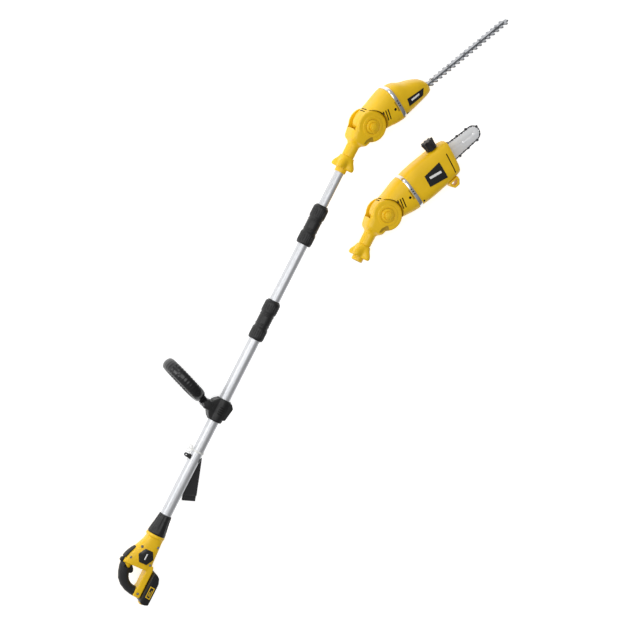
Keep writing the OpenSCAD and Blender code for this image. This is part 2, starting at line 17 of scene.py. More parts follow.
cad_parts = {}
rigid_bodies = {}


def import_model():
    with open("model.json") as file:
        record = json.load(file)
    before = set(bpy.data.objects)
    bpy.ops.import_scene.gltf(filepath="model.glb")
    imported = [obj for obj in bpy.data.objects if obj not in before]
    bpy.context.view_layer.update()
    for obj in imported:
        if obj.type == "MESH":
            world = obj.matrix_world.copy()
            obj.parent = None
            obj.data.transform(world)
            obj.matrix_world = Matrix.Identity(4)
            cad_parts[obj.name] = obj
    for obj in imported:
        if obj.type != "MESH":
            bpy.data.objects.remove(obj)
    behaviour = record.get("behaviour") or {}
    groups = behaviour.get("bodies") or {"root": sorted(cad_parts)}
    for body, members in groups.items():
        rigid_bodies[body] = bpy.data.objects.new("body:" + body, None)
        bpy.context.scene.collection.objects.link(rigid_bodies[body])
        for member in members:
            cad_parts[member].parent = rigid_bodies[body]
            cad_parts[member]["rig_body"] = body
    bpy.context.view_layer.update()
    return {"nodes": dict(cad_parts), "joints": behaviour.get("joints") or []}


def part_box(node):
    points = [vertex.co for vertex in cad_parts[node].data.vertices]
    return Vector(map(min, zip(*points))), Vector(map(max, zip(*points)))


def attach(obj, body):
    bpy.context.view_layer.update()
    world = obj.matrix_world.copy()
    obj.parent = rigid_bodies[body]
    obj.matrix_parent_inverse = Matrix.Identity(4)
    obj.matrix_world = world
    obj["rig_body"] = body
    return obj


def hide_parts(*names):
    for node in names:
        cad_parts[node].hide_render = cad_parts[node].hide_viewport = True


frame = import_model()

MM = 0.001
LOG = logging.getLogger("pole_tool")
Point = tuple[float, float]


# ---- Finishes ---------------------------------------------------------------------------------


class ShaderSheet:
    """A new material with its shader and a few node shortcuts."""

    def __init__(self, name: str) -> None:
        """Start an empty node material.

        Args:
            name: The material's name.
        """
        self.material = bpy.data.materials.new(name)
        self.material.use_nodes = True
        self.nodes = self.material.node_tree.nodes
        self.links = self.material.node_tree.links
        self.shader = self.nodes["Principled BSDF"]

    def coordinates(self, scale: tuple[float, float, float] = (1, 1, 1),
                    turn: tuple[float, float, float] = (0, 0, 0)) -> bpy.types.NodeSocket:
        """Object coordinates, stretched and turned.

        Args:
            scale: Stretch along each axis.
            turn: Rotation in degrees about each axis.

        Returns:
            The vector socket.
        """
        place = self.nodes.new("ShaderNodeTexCoord")
        mapping = self.nodes.new("ShaderNodeMapping")
        mapping.inputs["Scale"].default_value = scale
        mapping.inputs["Rotation"].default_value = [math.radians(a) for a in turn]
        self.links.new(place.outputs["Object"], mapping.inputs["Vector"])
        return mapping.outputs["Vector"]

    def noise(self, vector: bpy.types.NodeSocket, scale: float, detail: float = 2.0) -> bpy.types.NodeSocket:
        """A noise pattern.

        Args:
            vector: The coordinates.
            scale: Features per metre.
            detail: Octaves.

        Returns:
            The factor socket.
        """
        node = self.nodes.new("ShaderNodeTexNoise")
        node.inputs["Scale"].default_value = scale
        node.inputs["Detail"].default_value = detail
        self.links.new(vector, node.inputs["Vector"])
        return node.outputs["Fac"]

    def ramp(self, factor: bpy.types.NodeSocket, stops: Sequence[tuple[float, Sequence[float]]]
             ) -> bpy.types.NodeSocket:
        """A colour ramp.

        Args:
            factor: What drives the ramp.
            stops: Position and colour of each stop.

        Returns:
            The colour socket.
        """
        node = self.nodes.new("ShaderNodeValToRGB")
        ramp = node.color_ramp
        for extra in stops[2:]:
            ramp.elements.new(extra[0])
        for element, (place, colour) in zip(ramp.elements, sorted(stops, key=lambda s: s[0])):
            element.position = place
            element.color = (*colour[:3], 1.0)
        self.links.new(factor, node.inputs["Fac"])
        return node.outputs["Color"]

    def spread(self, factor: bpy.types.NodeSocket, low: float, high: float) -> bpy.types.NodeSocket:
        """Map a 0 to 1 factor onto a range.

        Args:
            factor: The factor.
            low: Value at 0.3 of the factor.
            high: Value at 0.7 of the factor.

        Returns:
            The value socket.
        """
        node = self.nodes.new("ShaderNodeMapRange")
        node.inputs["From Min"].default_value = 0.3
        node.inputs["From Max"].default_value = 0.7
        node.inputs["To Min"].default_value = low
        node.inputs["To Max"].default_value = high
        self.links.new(factor, node.inputs["Value"])
        return node.outputs["Result"]

    def bump(self, height: bpy.types.NodeSocket, depth_mm: float, strength: float = 0.5) -> None:
        """Raise the surface by a pattern, on top of any earlier bump.

        Args:
            height: The pattern.
            depth_mm: Height of the pattern in millimetres.
            strength: How strongly it shows.
        """
        node = self.nodes.new("ShaderNodeBump")
        node.inputs["Strength"].default_value = strength
        node.inputs["Distance"].default_value = depth_mm * MM
        self.links.new(height, node.inputs["Height"])
        earlier = self.shader.inputs["Normal"].links
        if earlier:
            self.links.new(earlier[0].from_socket, node.inputs["Normal"])
        self.links.new(node.outputs["Normal"], self.shader.inputs["Normal"])

    def set(self, **values: float | Sequence[float]) -> None:
        """Set plain values on the shader's own sockets."""
        for name, value in values.items():
            self.shader.inputs[name.replace("_", " ")].default_value = value


def shade(colour: Sequence[float], by: float) -> tuple[float, float, float]:
    """A colour made lighter or darker by a factor."""
    return tuple(min(1.0, c * by) for c in colour[:3])


@dataclass(frozen=True)
class MouldedPlastic:
    """Injection-moulded plastic with a fine spark-eroded grain."""

    name: str
    colour: tuple[float, float, float]
    roughness: float = 0.42
    grain: float = 1500.0
    grain_depth: float = 0.05
    coat: float = 0.0

    def build(self) -> bpy.types.Material:
        """Make the material."""
        sheet = ShaderSheet(self.name)
        place = sheet.coordinates()
        cloud = sheet.noise(place, 14.0, 3.0)
        tint = sheet.ramp(cloud, [(0.25, shade(self.colour, 0.94)), (0.75, shade(self.colour, 1.05))])
        sheet.links.new(tint, sheet.shader.inputs["Base Color"])
        rough = sheet.spread(sheet.noise(place, 90.0, 4.0), self.roughness - 0.05, self.roughness + 0.07)
        sheet.links.new(rough, sheet.shader.inputs["Roughness"])
        sheet.bump(sheet.noise(place, self.grain, 2.0), self.grain_depth, 0.35)
        sheet.set(Specular_IOR_Level=0.45, Coat_Weight=self.coat, Coat_Roughness=0.12)
        return sheet.material


@dataclass(frozen=True)
class SoftRubber:
    """Matt over-moulded rubber with a coarse stipple."""

    name: str
    colour: tuple[float, float, float]
    stipple: float = 620.0

    def build(self) -> bpy.types.Material:
        """Make the material."""
        sheet = ShaderSheet(self.name)
        place = sheet.coordinates()
        cells = sheet.nodes.new("ShaderNodeTexVoronoi")
        cells.inputs["Scale"].default_value = self.stipple
        sheet.links.new(place, cells.inputs["Vector"])
        tint = sheet.ramp(sheet.noise(place, 30.0, 3.0),
                          [(0.3, shade(self.colour, 0.8)), (0.7, shade(self.colour, 1.35))])
        sheet.links.new(tint, sheet.shader.inputs["Base Color"])
        rough = sheet.spread(sheet.noise(place, 160.0, 3.0), 0.55, 0.72)
        sheet.links.new(rough, sheet.shader.inputs["Roughness"])
        sheet.bump(cells.outputs["Distance"], 0.25, 0.5)
        return sheet.material


@dataclass(frozen=True)
class DrawnMetal:
    """Metal with fine lines along one direction."""

    name: str
    colour: tuple[float, float, float]
    roughness: float = 0.3
    metallic: float = 1.0
    along: tuple[float, float, float] = (6.0, 900.0, 900.0)
    turn: tuple[float, float, float] = (0.0, 0.0, 0.0)
    variation: float = 0.1
    anisotropic: float = 0.0

    def build(self) -> bpy.types.Material:
        """Make the material."""
        sheet = ShaderSheet(self.name)
        lines = sheet.noise(sheet.coordinates(self.along, self.turn), 1.0, 3.0)
        cloud = sheet.noise(sheet.coordinates(), 22.0, 3.0)
        tint = sheet.ramp(cloud, [(0.25, shade(self.colour, 1 - self.variation)),
                                  (0.75, shade(self.colour, 1 + self.variation * 0.6))])
        sheet.links.new(tint, sheet.shader.inputs["Base Color"])
        rough = sheet.spread(lines, self.roughness - 0.06, self.roughness + 0.1)
        sheet.links.new(rough, sheet.shader.inputs["Roughness"])
        sheet.bump(lines, 0.02, 0.4)
        sheet.set(Metallic=self.metallic, Anisotropic=self.anisotropic)
        return sheet.material


@dataclass(frozen=True)
class WovenWebbing:
    """Flat woven strap with ribs across it, on the strap's own UV map."""

    name: str
    colour: tuple[float, float, float]

    def build(self) -> bpy.types.Material:
        """Make the material."""
        sheet = ShaderSheet(self.name)
        uv = sheet.nodes.new("ShaderNodeTexCoord").outputs["UV"]
        heights = []
        for direction, scale in (("X", 420.0), ("Y", 300.0)):
            wave = sheet.nodes.new("ShaderNodeTexWave")
            wave.bands_direction = direction
            wave.inputs["Scale"].default_value = scale
            wave.inputs["Distortion"].default_value = 0.6
            sheet.links.new(uv, wave.inputs["Vector"])
            heights.append(wave.outputs["Fac"])
        both = sheet.nodes.new("ShaderNodeMath")
        both.operation = "MAXIMUM"
        sheet.links.new(heights[0], both.inputs[0])
        sheet.links.new(heights[1], both.inputs[1])
        # The tint follows the weave's height: on the real weave pattern, the darker grooves are painted shade and the
        # lighter ridges a painted highlight.
        tint = sheet.ramp(both.outputs[0], [(0.2, shade(self.colour, 0.55)), (0.9, shade(self.colour, 1.5))])
        sheet.links.new(tint, sheet.shader.inputs["Base Color"])
        sheet.bump(both.outputs[0], 0.3, 0.6)
        sheet.set(Roughness=0.8, Sheen_Weight=0.25, Sheen_Roughness=0.5)
        return sheet.material


class Finish(Enum):
    """Every finish on the tool, and the linings that paint shade into its cuts."""

    YELLOW = MouldedPlastic("yellow_housing", (0.86, 0.53, 0.003), 0.38, coat=0.06)
    # Darker yellow that lines recesses and pockets in the yellow parts: painted shade.
    GOLD = MouldedPlastic("yellow_recess", (0.42, 0.25, 0.006), 0.5)
    BLACK = MouldedPlastic("black_moulding", (0.007, 0.007, 0.0075), 0.44)
    GLOSS_BLACK = MouldedPlastic("glossy_black_moulding", (0.005, 0.005, 0.006), 0.24, grain_depth=0.01, coat=0.15)
    # Near-black that lines cut openings, slots, holes and vents: painted shade inside them; in the thin seam and
    # split cuts it is the dark joint line.
    DARK = MouldedPlastic("dark_opening", (0.004, 0.004, 0.004), 0.8)
    BADGE = MouldedPlastic("badge_plate", (0.006, 0.006, 0.007), 0.25, grain_depth=0.01, coat=0.3)
    STRIPE = MouldedPlastic("printed_stripe", (0.80, 0.80, 0.80), 0.4, grain_depth=0.01)
    TIE = MouldedPlastic("white_tie", (0.80, 0.80, 0.77), 0.5)
    RUBBER = SoftRubber("soft_grip", (0.008, 0.008, 0.0085))
    CABLE = SoftRubber("cable_jacket", (0.02, 0.02, 0.02), 300.0)
    TUBE = DrawnMetal("anodised_tube", (0.60, 0.61, 0.63), 0.36, 0.6, variation=0.03)
    RING = DrawnMetal("bright_ring", (0.74, 0.75, 0.76), 0.16, 1.0, variation=0.04)
    STEEL = DrawnMetal("ground_steel", (0.40, 0.41, 0.43), 0.33)
    BLADE = DrawnMetal("blade_steel", (0.34, 0.35, 0.37), 0.36, 1.0, (220.0, 220.0, 220.0))
    BAR = DrawnMetal("guide_bar_steel", (0.86, 0.87, 0.89), 0.42, 0.15, (60.0, 900.0, 900.0), variation=0.04)
    CHAIN = DrawnMetal("chain_steel", (0.11, 0.11, 0.12), 0.34, 1.0, (400.0, 400.0, 400.0))
    CAN = DrawnMetal("motor_can", (0.45, 0.45, 0.47), 0.3)
    WEBBING = WovenWebbing("strap_webbing", (0.016, 0.016, 0.018))


class FinishShelf:
    """Makes each material once and hands it out."""

    def __init__(self) -> None:
        """Start with no material made."""
        self.made: dict[Finish, bpy.types.Material] = {}

    def __getitem__(self, finish: Finish) -> bpy.types.Material:
        """The material of a finish, made on first use."""
        if finish not in self.made:
            self.made[finish] = finish.value.build()
        return self.made[finish]


SHELF = FinishShelf()


# ---- Forming tools ----------------------------------------------------------------------------


@dataclass(frozen=True)
class Station:
    """One cross-section of a lofted body, in millimetres.

    The section stands across the run of the body; turn leans its height axis back, in degrees.
    """

    x: float
    y: float
    up: float
    down: float
    half: float
    square: float = 2.4
    turn: float = 0.0
    z: float = 0.0

    def place(self, unit: Vector) -> Vector:
        """Move a point of the unit circle onto this section.

        Args:
            unit: A point of the unit circle in the x y plane.

        Returns:
            The point on the section.
        """
        power = 2.0 / self.square
        side = math.copysign(abs(unit.x) ** power, unit.x) * self.half
        rise = math.copysign(abs(unit.y) ** power, unit.y)
        rise *= self.up if rise > 0 else self.down
        lean = math.radians(self.turn)
        return Vector((self.x - rise * math.sin(lean), self.y + rise * math.cos(lean), side + self.z))


def loft(stations: Sequence[Station], segments: int = 48, closed: bool = False) -> bmesh.types.BMesh:
    """Bridge a row of cross-sections into one closed skin.

    Args:
        stations: The sections, in order.
        segments: Points round each section.
        closed: Join the last section to the first.

    Returns:
        The new mesh, in millimetres.
    """
    bm = bmesh.new()
    rings = []
    for station in stations:
        made = bmesh.ops.create_circle(bm, cap_ends=False, radius=1.0, segments=segments)["verts"]
        edges = list({edge for vert in made for edge in vert.link_edges})
        for vert in made:
            vert.co = station.place(vert.co)
        rings.append(edges)
    follow = rings[1:] + ([rings[0]] if closed else [])
    for here, there in zip(rings, follow):
        bmesh.ops.bridge_loops(bm, edges=here + there)
    if not closed:
        for end in (rings[0], rings[-1]):
            bmesh.ops.edgeloop_fill(bm, edges=end)
    bmesh.ops.recalc_face_normals(bm, faces=bm.faces)
    return bm


def turned(profile: Sequence[Point], segments: int = 64) -> bmesh.types.BMesh:
    """Spin a closed or axis-to-axis profile about the x axis.

    Args:
        profile: Points as (x, radius).
        segments: Steps in the full turn.

    Returns:
        The new mesh, in millimetres.
    """
    bm = bmesh.new()
    verts = [bm.verts.new((x, r, 0.0)) for x, r in profile]
    pairs = list(zip(verts, verts[1:]))
    if profile[0][1] > 0.01 and profile[-1][1] > 0.01:
        pairs.append((verts[-1], verts[0]))
    edges = [bm.edges.new(pair) for pair in pairs]
    bmesh.ops.spin(bm, geom=verts + edges, cent=(0, 0, 0), axis=(1, 0, 0), angle=math.tau,
                   steps=segments, use_merge=True, use_duplicate=False)
    bmesh.ops.remove_doubles(bm, verts=bm.verts, dist=0.001)
    bmesh.ops.recalc_face_normals(bm, faces=bm.faces)
    return bm


def plate(outline: Sequence[Point], low: float, high: float, edge: float = 0.0,
          segments: int = 2) -> bmesh.types.BMesh:
    """Raise a flat outline into a plate along z, with softened edges.

    Args:
        outline: Corner points as (x, y).
        low: Bottom of the plate.
        high: Top of the plate.
        edge: Width of the softened edges.
        segments: Steps in each softened edge.

    Returns:
        The new mesh, in millimetres.
    """
    bm = bmesh.new()
    face = bm.faces.new([bm.verts.new((x, y, low)) for x, y in outline])
    out = bmesh.ops.extrude_face_region(bm, geom=[face])
    moved = [item for item in out["geom"] if isinstance(item, bmesh.types.BMVert)]
    bmesh.ops.translate(bm, verts=moved, vec=(0, 0, high - low))
    bmesh.ops.recalc_face_normals(bm, faces=bm.faces)
    if edge:
        bmesh.ops.bevel(bm, geom=bm.edges[:], offset=edge, offset_type="OFFSET", segments=segments,
                        profile=0.5, affect="EDGES", material=-1, clamp_overlap=True)
    return bm


def brick(low: Sequence[float], high: Sequence[float], edge: float = 0.6,
          segments: int = 2) -> bmesh.types.BMesh:
    """A block between two corners, with softened edges."""
    return plate([(low[0], low[1]), (high[0], low[1]), (high[0], high[1]), (low[0], high[1])],
                 low[2], high[2], edge, segments)


def rod(start: Sequence[float], end: Sequence[float], radius: float, sides: int = 32,
        tip: float | None = None) -> bmesh.types.BMesh:
    """A round bar or cone between two points.

    Args:
        start: One end.
        end: The other end.
        radius: Radius at the start.
        sides: Sides of the bar.
        tip: Radius at the end, when it differs.

    Returns:
        The new mesh, in millimetres.
    """
    bm = bmesh.new()
    a, b = Vector(start), Vector(end)
    bmesh.ops.create_cone(bm, cap_ends=True, cap_tris=False, segments=sides, radius1=radius,
                          radius2=radius if tip is None else tip, depth=(b - a).length)
    turn = (b - a).to_track_quat("Z", "Y").to_matrix().to_4x4()
    bmesh.ops.transform(bm, matrix=Matrix.Translation((a + b) / 2) @ turn, verts=bm.verts)
    return bm


def join(target: bmesh.types.BMesh, extra: bmesh.types.BMesh) -> bmesh.types.BMesh:
    """Add one mesh's faces to another and drop the first.

    Args:
        target: The mesh that grows.
        extra: The mesh that is added and freed.

    Returns:
        The grown mesh.
    """
    carrier = bpy.data.meshes.new("carrier")
    extra.to_mesh(carrier)
    extra.free()
    target.from_mesh(carrier)
    bpy.data.meshes.remove(carrier)
    return target


def paint(bm: bmesh.types.BMesh, index: int) -> bmesh.types.BMesh:
    """Give all faces one material index."""
    for face in bm.faces:
        face.material_index = index
    return bm


def moved(bm: bmesh.types.BMesh, matrix: Matrix) -> bmesh.types.BMesh:
    """Move all of a mesh by a matrix."""
    bmesh.ops.transform(bm, matrix=matrix, verts=bm.verts)
    return bm


def place_at(origin: Sequence[float], run: Sequence[float] = (1, 0, 0),
             out: Sequence[float] = (0, 0, 1)) -> Matrix:
    """The matrix from an assembly's millimetres to the row's frame.

    Args:
        origin: The assembly's origin in the row's frame, in metres.
        run: The direction of the assembly's x axis.
        out: The direction of its z axis, square to the first.

    Returns:
        The placing matrix.
    """
    x = Vector(run).normalized()
    z = Vector(out).normalized()
    y = z.cross(x)
    turn = Matrix((x, y, z)).transposed().to_4x4()
    return Matrix.Translation(Vector(origin)) @ turn @ Matrix.Scale(MM, 4)


@dataclass
class Workshop:
    """Turns meshes into finished pieces on one assembly."""

    place: Matrix
    made: list[str] = field(default_factory=list)

    def solid(self, bm: bmesh.types.BMesh, name: str, finishes: Sequence[Finish]) -> bpy.types.Object:
        """Make an object of a mesh, placed in the row's frame.

        Args:
            bm: The mesh in millimetres; it is freed.
            name: The object's name.
            finishes: One finish for each material index.

        Returns:
            The object, at the origin, with its place in its mesh.
        """
        bmesh.ops.transform(bm, matrix=self.place, verts=bm.verts)
        mesh = bpy.data.meshes.new(name)
        bm.to_mesh(mesh)
        bm.free()
        for finish in finishes:
            mesh.materials.append(SHELF[finish])
        thing = bpy.data.objects.new(name, mesh)
        bpy.context.scene.collection.objects.link(thing)
        return thing

    def finish(self, thing: bpy.types.Object, body: str, slot: str, nodes: Sequence[str] = (),
               crease: float = 35.0) -> bpy.types.Object:
        """Shade a piece, set it on its body and hide the CAD nodes it replaces.

        Args:
            thing: The piece.
            body: The CAD body it moves with.
            slot: The record's material slot; not used.
            nodes: The CAD nodes it replaces.
            crease: Angle past which an edge stays sharp, in degrees.

        Returns:
            The piece.
        """
        thing.data.shade_smooth()
        thing.data.set_sharp_from_angle(angle=math.radians(crease))
        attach(thing, body)
        if nodes:
            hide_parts(*nodes)
        self.made.append(thing.name)
        LOG.info("piece %s on %s", thing.name, body)
        return thing

    def piece(self, bm: bmesh.types.BMesh, name: str, body: str, slot: str, finishes: Sequence[Finish],
              nodes: Sequence[str] = (), crease: float = 35.0) -> bpy.types.Object:
        """Make and finish a piece in one step."""
        return self.finish(self.solid(bm, name, finishes), body, slot, nodes, crease)


def settle(thing: bpy.types.Object) -> bpy.types.Object:
    """Apply all of an object's modifiers to its mesh."""
    graph = bpy.context.evaluated_depsgraph_get()
    mesh = bpy.data.meshes.new_from_object(thing.evaluated_get(graph))
    old = thing.data
    thing.modifiers.clear()
    thing.data = mesh
    mesh.name = thing.name
    bpy.data.meshes.remove(old)
    return thing


def carve(thing: bpy.types.Object, cutters: Iterable[bpy.types.Object],
          operation: str = "DIFFERENCE") -> bpy.types.Object:
    """Cut or join other solids, which are used up.

    Args:
        thing: The solid that is kept.
        cutters: The solids that are used up; their materials line the cuts.
        operation: DIFFERENCE or UNION.

    Returns:
        The kept solid.
    """
    used = list(cutters)
    for cutter in used:
        step = thing.modifiers.new(cutter.name, "BOOLEAN")
        step.operation = operation
        step.solver = "EXACT"
        # Each cut takes the cutter's material; the near-black and darker-yellow linings are painted shade.
        step.material_mode = "TRANSFER"
        step.object = cutter
    settle(thing)
    for cutter in used:
        bpy.data.objects.remove(cutter)
    return thing


def melt(thing: bpy.types.Object, voxel_mm: float, passes: int) -> bpy.types.Object:
    """Fuse overlapping forms into one skin and soften where they meet.

    Args:
        thing: The solid of overlapping forms.
        voxel_mm: Size of the remeshing cell.
        passes: Smoothing passes.

    Returns:
        The fused solid.
    """
    grid = thing.modifiers.new("fuse", "REMESH")
    grid.mode = "VOXEL"
    grid.voxel_size = voxel_mm * MM
    soften = thing.modifiers.new("soften", "SMOOTH")
    soften.iterations = passes
    soften.factor = 0.5
    return settle(thing)


def halve(source: bpy.types.Object, name: str, keep_high: bool, at: Vector, normal: Vector) -> bpy.types.Object:
    """Copy one side of a solid and close the cut.

    Args:
        source: The whole solid.
        name: The new object's name.
        keep_high: Keep the side that the normal points to.
        at: A point on the parting plane.
        normal: The plane's normal.

    Returns:
        The new half.
    """
    bm = bmesh.new()
    bm.from_mesh(source.data)
    bmesh.ops.bisect_plane(bm, geom=bm.verts[:] + bm.edges[:] + bm.faces[:], plane_co=at, plane_no=normal,
                           clear_inner=keep_high, clear_outer=not keep_high)
    rim = [edge for edge in bm.edges if edge.is_boundary]
    bmesh.ops.triangle_fill(bm, use_beauty=True, use_dissolve=False, edges=rim,
                            normal=-normal if keep_high else normal)
    mesh = bpy.data.meshes.new(name)
    bm.to_mesh(mesh)
    bm.free()
    for material in source.data.materials:
        mesh.materials.append(material)
    half = bpy.data.objects.new(name, mesh)
    bpy.context.scene.collection.objects.link(half)
    return half


def soften_node(shop: Workshop, node: str, finish: Finish, width_mm: float, slot: str,
                segments: int = 3, sharp: float = 28.0) -> bpy.types.Object:
    """Remake a CAD node with rounded edges.

    Args:
        shop: The workshop that finishes it.
        node: The CAD node.
        finish: Its finish.
        width_mm: Width of the rounded edges.
        slot: The record's material slot; passed on to the workshop, which does not use it.
        segments: Steps in each rounded edge.
        sharp: Angle past which an edge is rounded, in degrees.

    Returns:
        The new piece.
    """
    source = frame["nodes"][node]
    bm = bmesh.new()
    bm.from_mesh(source.data)
    bmesh.ops.remove_doubles(bm, verts=bm.verts, dist=0.00001)
    bmesh.ops.dissolve_limit(bm, angle_limit=math.radians(1.0), verts=bm.verts, edges=bm.edges,
                             use_dissolve_boundaries=False, delimit=set())
    for face in bm.faces:
        face.material_index = 0
    mesh = bpy.data.meshes.new(node + "_rounded")
    bm.to_mesh(mesh)
    bm.free()
    mesh.materials.append(SHELF[finish])
    thing = bpy.data.objects.new(node + "_rounded", mesh)
    bpy.context.scene.collection.objects.link(thing)
    edge = thing.modifiers.new("edges", "BEVEL")
    edge.width = width_mm * MM
    edge.segments = segments
    edge.limit_method = "ANGLE"
    edge.angle_limit = math.radians(sharp)
    edge.use_clamp_overlap = True
    edge.harden_normals = False
    settle(thing)
    return shop.finish(thing, source["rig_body"], slot, [node], 40.0)


# ---- Places -----------------------------------------------------------------------------------


def joint(name: str) -> dict:
    """The record's entry for one joint."""
    return next(j for j in frame["joints"] if j["name"] == name)


@dataclass(frozen=True)
class Places:
    """Where each assembly's own axes stand in the row's frame."""

    half_hub: float = 5.0

    def tool(self) -> Matrix:
        """Axes of the pole: the lower tube starts 150 mm behind the origin."""
        low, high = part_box("lower_tube")
        middle = (low + high) / 2
        return place_at((low.x + 150 * MM, middle.y, middle.z))

    def neck(self, head: str) -> Matrix:
        """Axes of a head's neck, with the origin in its lock nut."""
        return place_at(joint(head + "_lock_nut_twist")["pos_m"], (1, 0, 0), joint(head + "_head_tilt")["axis"])

    def head(self, head: str) -> Matrix:
        """Axes of a head's motor, above its pivot."""
        out = Vector(joint(head + "_head_tilt")["axis"])
        across = Vector(joint("hedge_drive_gear_spin" if head == "hedge" else "oil_cap_turn")["axis"])
        run = across.cross(out).normalized()
        lift = out.cross(run) * self.half_hub * MM
        return place_at(Vector(joint(head + "_head_tilt")["pos_m"]) + lift, run, out)


# ---- Studio -----------------------------------------------------------------------------------


@dataclass
class Studio:
    """Pale floor, soft light and the camera."""

    tilt: float = 20.0
    pole_lean: float = 63.1
    aim_along: float = 699.5
    aim_down: float = 122.0
    distance: float = 6.0
    view_width: float = 1.9375
    sensor: float = 36.0

    def build(self, tool: Matrix) -> None:
        """Set up floor, lights and camera.

        Args:
            tool: The pole's axes.
        """
        self.backdrop()
        self.lights()
        self.camera(tool)

    def backdrop(self) -> None:
        """A wide pale sheet under the tool."""
        bm = bmesh.new()
        bmesh.ops.create_grid(bm, x_segments=4, y_segments=4, size=14.0)
        bmesh.ops.translate(bm, verts=bm.verts, vec=(0, 0, -0.002))
        mesh = bpy.data.meshes.new("pale_floor")
        bm.to_mesh(mesh)
        bm.free()
        sheet = ShaderSheet("pale_paper")
        tone = sheet.ramp(sheet.noise(sheet.coordinates(), 3.0, 2.0),
                          [(0.3, (0.96, 0.96, 0.96)), (0.7, (0.98, 0.98, 0.98))])
        sheet.links.new(tone, sheet.shader.inputs["Base Color"])
        sheet.set(Roughness=0.95, Specular_IOR_Level=0.1, Emission_Color=(1.0, 1.0, 1.0, 1.0),
                  Emission_Strength=0.55)
        mesh.materials.append(sheet.material)
        floor = bpy.data.objects.new("pale_floor", mesh)
        bpy.context.scene.collection.objects.link(floor)

    def lights(self) -> None:
        """A sky that is brighter on the loop's side, and three large soft panels."""
        world = bpy.data.worlds.new("studio_sky")
        world.use_nodes = True
        nodes, links = world.node_tree.nodes, world.node_tree.links
        sky = nodes["Background"]
        sky.inputs["Color"].default_value = (1.0, 1.0, 1.0, 1.0)
        way = nodes.new("ShaderNodeSeparateXYZ")
        links.new(nodes.new("ShaderNodeTexCoord").outputs["Generated"], way.inputs[0])
        fade = nodes.new("ShaderNodeMapRange")
        for value, socket in zip((-1.0, 0.8, 0.14, 0.68), ("From Min", "From Max", "To Min", "To Max")):
            fade.inputs[socket].default_value = value
        links.new(way.outputs["Y"], fade.inputs["Value"])
        links.new(fade.outputs[0], sky.inputs["Strength"])
        bpy.context.scene.world = world
        bpy.context.scene.view_settings.view_transform = "Standard"
        panels = (("panel_over", (0.1, 0.9, 3.2), (0, 0, 0), 2.4, 28.0),
                  ("panel_left", (-0.6, 2.8, 1.7), (0, 0, 0), 1.8, 26.0),
                  ("panel_back", (2.0, 2.4, 1.6), (0.5, 0, 0), 1.6, 9.0))
        for name, at, towards, size, power in panels:
            lamp = bpy.data.lights.new(name, "AREA")
            lamp.energy = power
            lamp.shape = "DISK"
            lamp.size = size
            thing = bpy.data.objects.new(name, lamp)
            thing.location = at
            thing.rotation_euler = (Vector(towards) - Vector(at)).to_track_quat("-Z", "Y").to_euler()
            bpy.context.scene.collection.objects.link(thing)

    def camera(self, tool: Matrix) -> None:
        """The camera looks down on the tool, turned so that the pole rises to the right.

        Args:
            tool: The pole's axes.
        """
        lean, tilt = math.radians(self.pole_lean), math.radians(self.tilt)
        along = Vector((1, 0, 0))
        across = Vector((0, math.cos(tilt), -math.sin(tilt)))
        right = along * math.cos(lean) - across * math.sin(lean)
        up = along * math.sin(lean) + across * math.cos(lean)
        back = right.cross(up)
        target = tool @ Vector((self.aim_along, 0, 0)) - across * self.aim_down * MM
        lens = bpy.data.cameras.new("camera")
        lens.sensor_width = self.sensor
        lens.lens = self.sensor * self.distance / self.view_width
        lens.clip_end = 40.0
        thing = bpy.data.objects.new("camera", lens)
        turn = Matrix((right, up, back)).transposed().to_4x4()
        thing.matrix_world = Matrix.Translation(target + back * self.distance) @ turn
        bpy.context.scene.collection.objects.link(thing)
        bpy.context.scene.camera = thing


# ---- Shapes shared by several assemblies --------------------------------------------------------


def arc(centre: Point, radius: float, start: float, end: float, steps: int = 5) -> list[Point]:
    """Points along an arc, from one angle to another, in degrees."""
    return [(centre[0] + radius * math.cos(math.radians(start + (end - start) * i / steps)),
             centre[1] + radius * math.sin(math.radians(start + (end - start) * i / steps)))
            for i in range(steps + 1)]


def drum(radius: float, low: float, high: float, edge: float, segments: int = 64,
         base_edge: float | None = None) -> bmesh.types.BMesh:
    """A round body about the x axis with rounded rims."""
    foot = edge if base_edge is None else base_edge
    profile = [(low, 0.0)]
    profile += [(low + foot - a, b) for a, b in
                ((y, x) for x, y in arc((radius - foot, 0), foot, 90, 0))] if foot else [(low, radius)]
    profile += [(high - edge + a, b) for a, b in ((y, x) for x, y in arc((radius - edge, 0), edge, 0, 90))]
    return turned(profile + [(high, 0.0)], segments)


def upright(x: float, y: float) -> Matrix:
    """Stand a body made about the x axis up along z, at a point."""
    return Matrix.Translation((x, y, 0)) @ Matrix.Rotation(math.radians(-90), 4, "Y")


def ripple(bm: bmesh.types.BMesh, lobes: int, depth: Callable[[float, float], float],
           phase: float = 0.0) -> bmesh.types.BMesh:
    """Push a turned body in and out in lobes round the x axis.

    Args:
        bm: The turned body.
        lobes: Lobes round the axis.
        depth: Depth of the lobes, from x and the radius.
        phase: Turn of the first lobe, in degrees.

    Returns:
        The same mesh.
    """
    for vert in bm.verts:
        radius = math.hypot(vert.co.y, vert.co.z)
        if radius < 0.01:
            continue
        swing = math.cos(lobes * (math.atan2(vert.co.z, vert.co.y) - math.radians(phase)))
        grow = 1 + depth(vert.co.x, radius) * swing / radius
        vert.co.y *= grow
        vert.co.z *= grow
    return bm


def cut_corners(points: Sequence[Point], passes: int) -> list[Point]:
    """Round a closed line by cutting its corners, once for each pass."""
    line = list(points)
    for _ in range(passes):
        line = [(a[0] * p + b[0] * (1 - p), a[1] * p + b[1] * (1 - p))
                for a, b in zip(line, line[1:] + line[:1]) for p in (0.75, 0.25)]
    return line


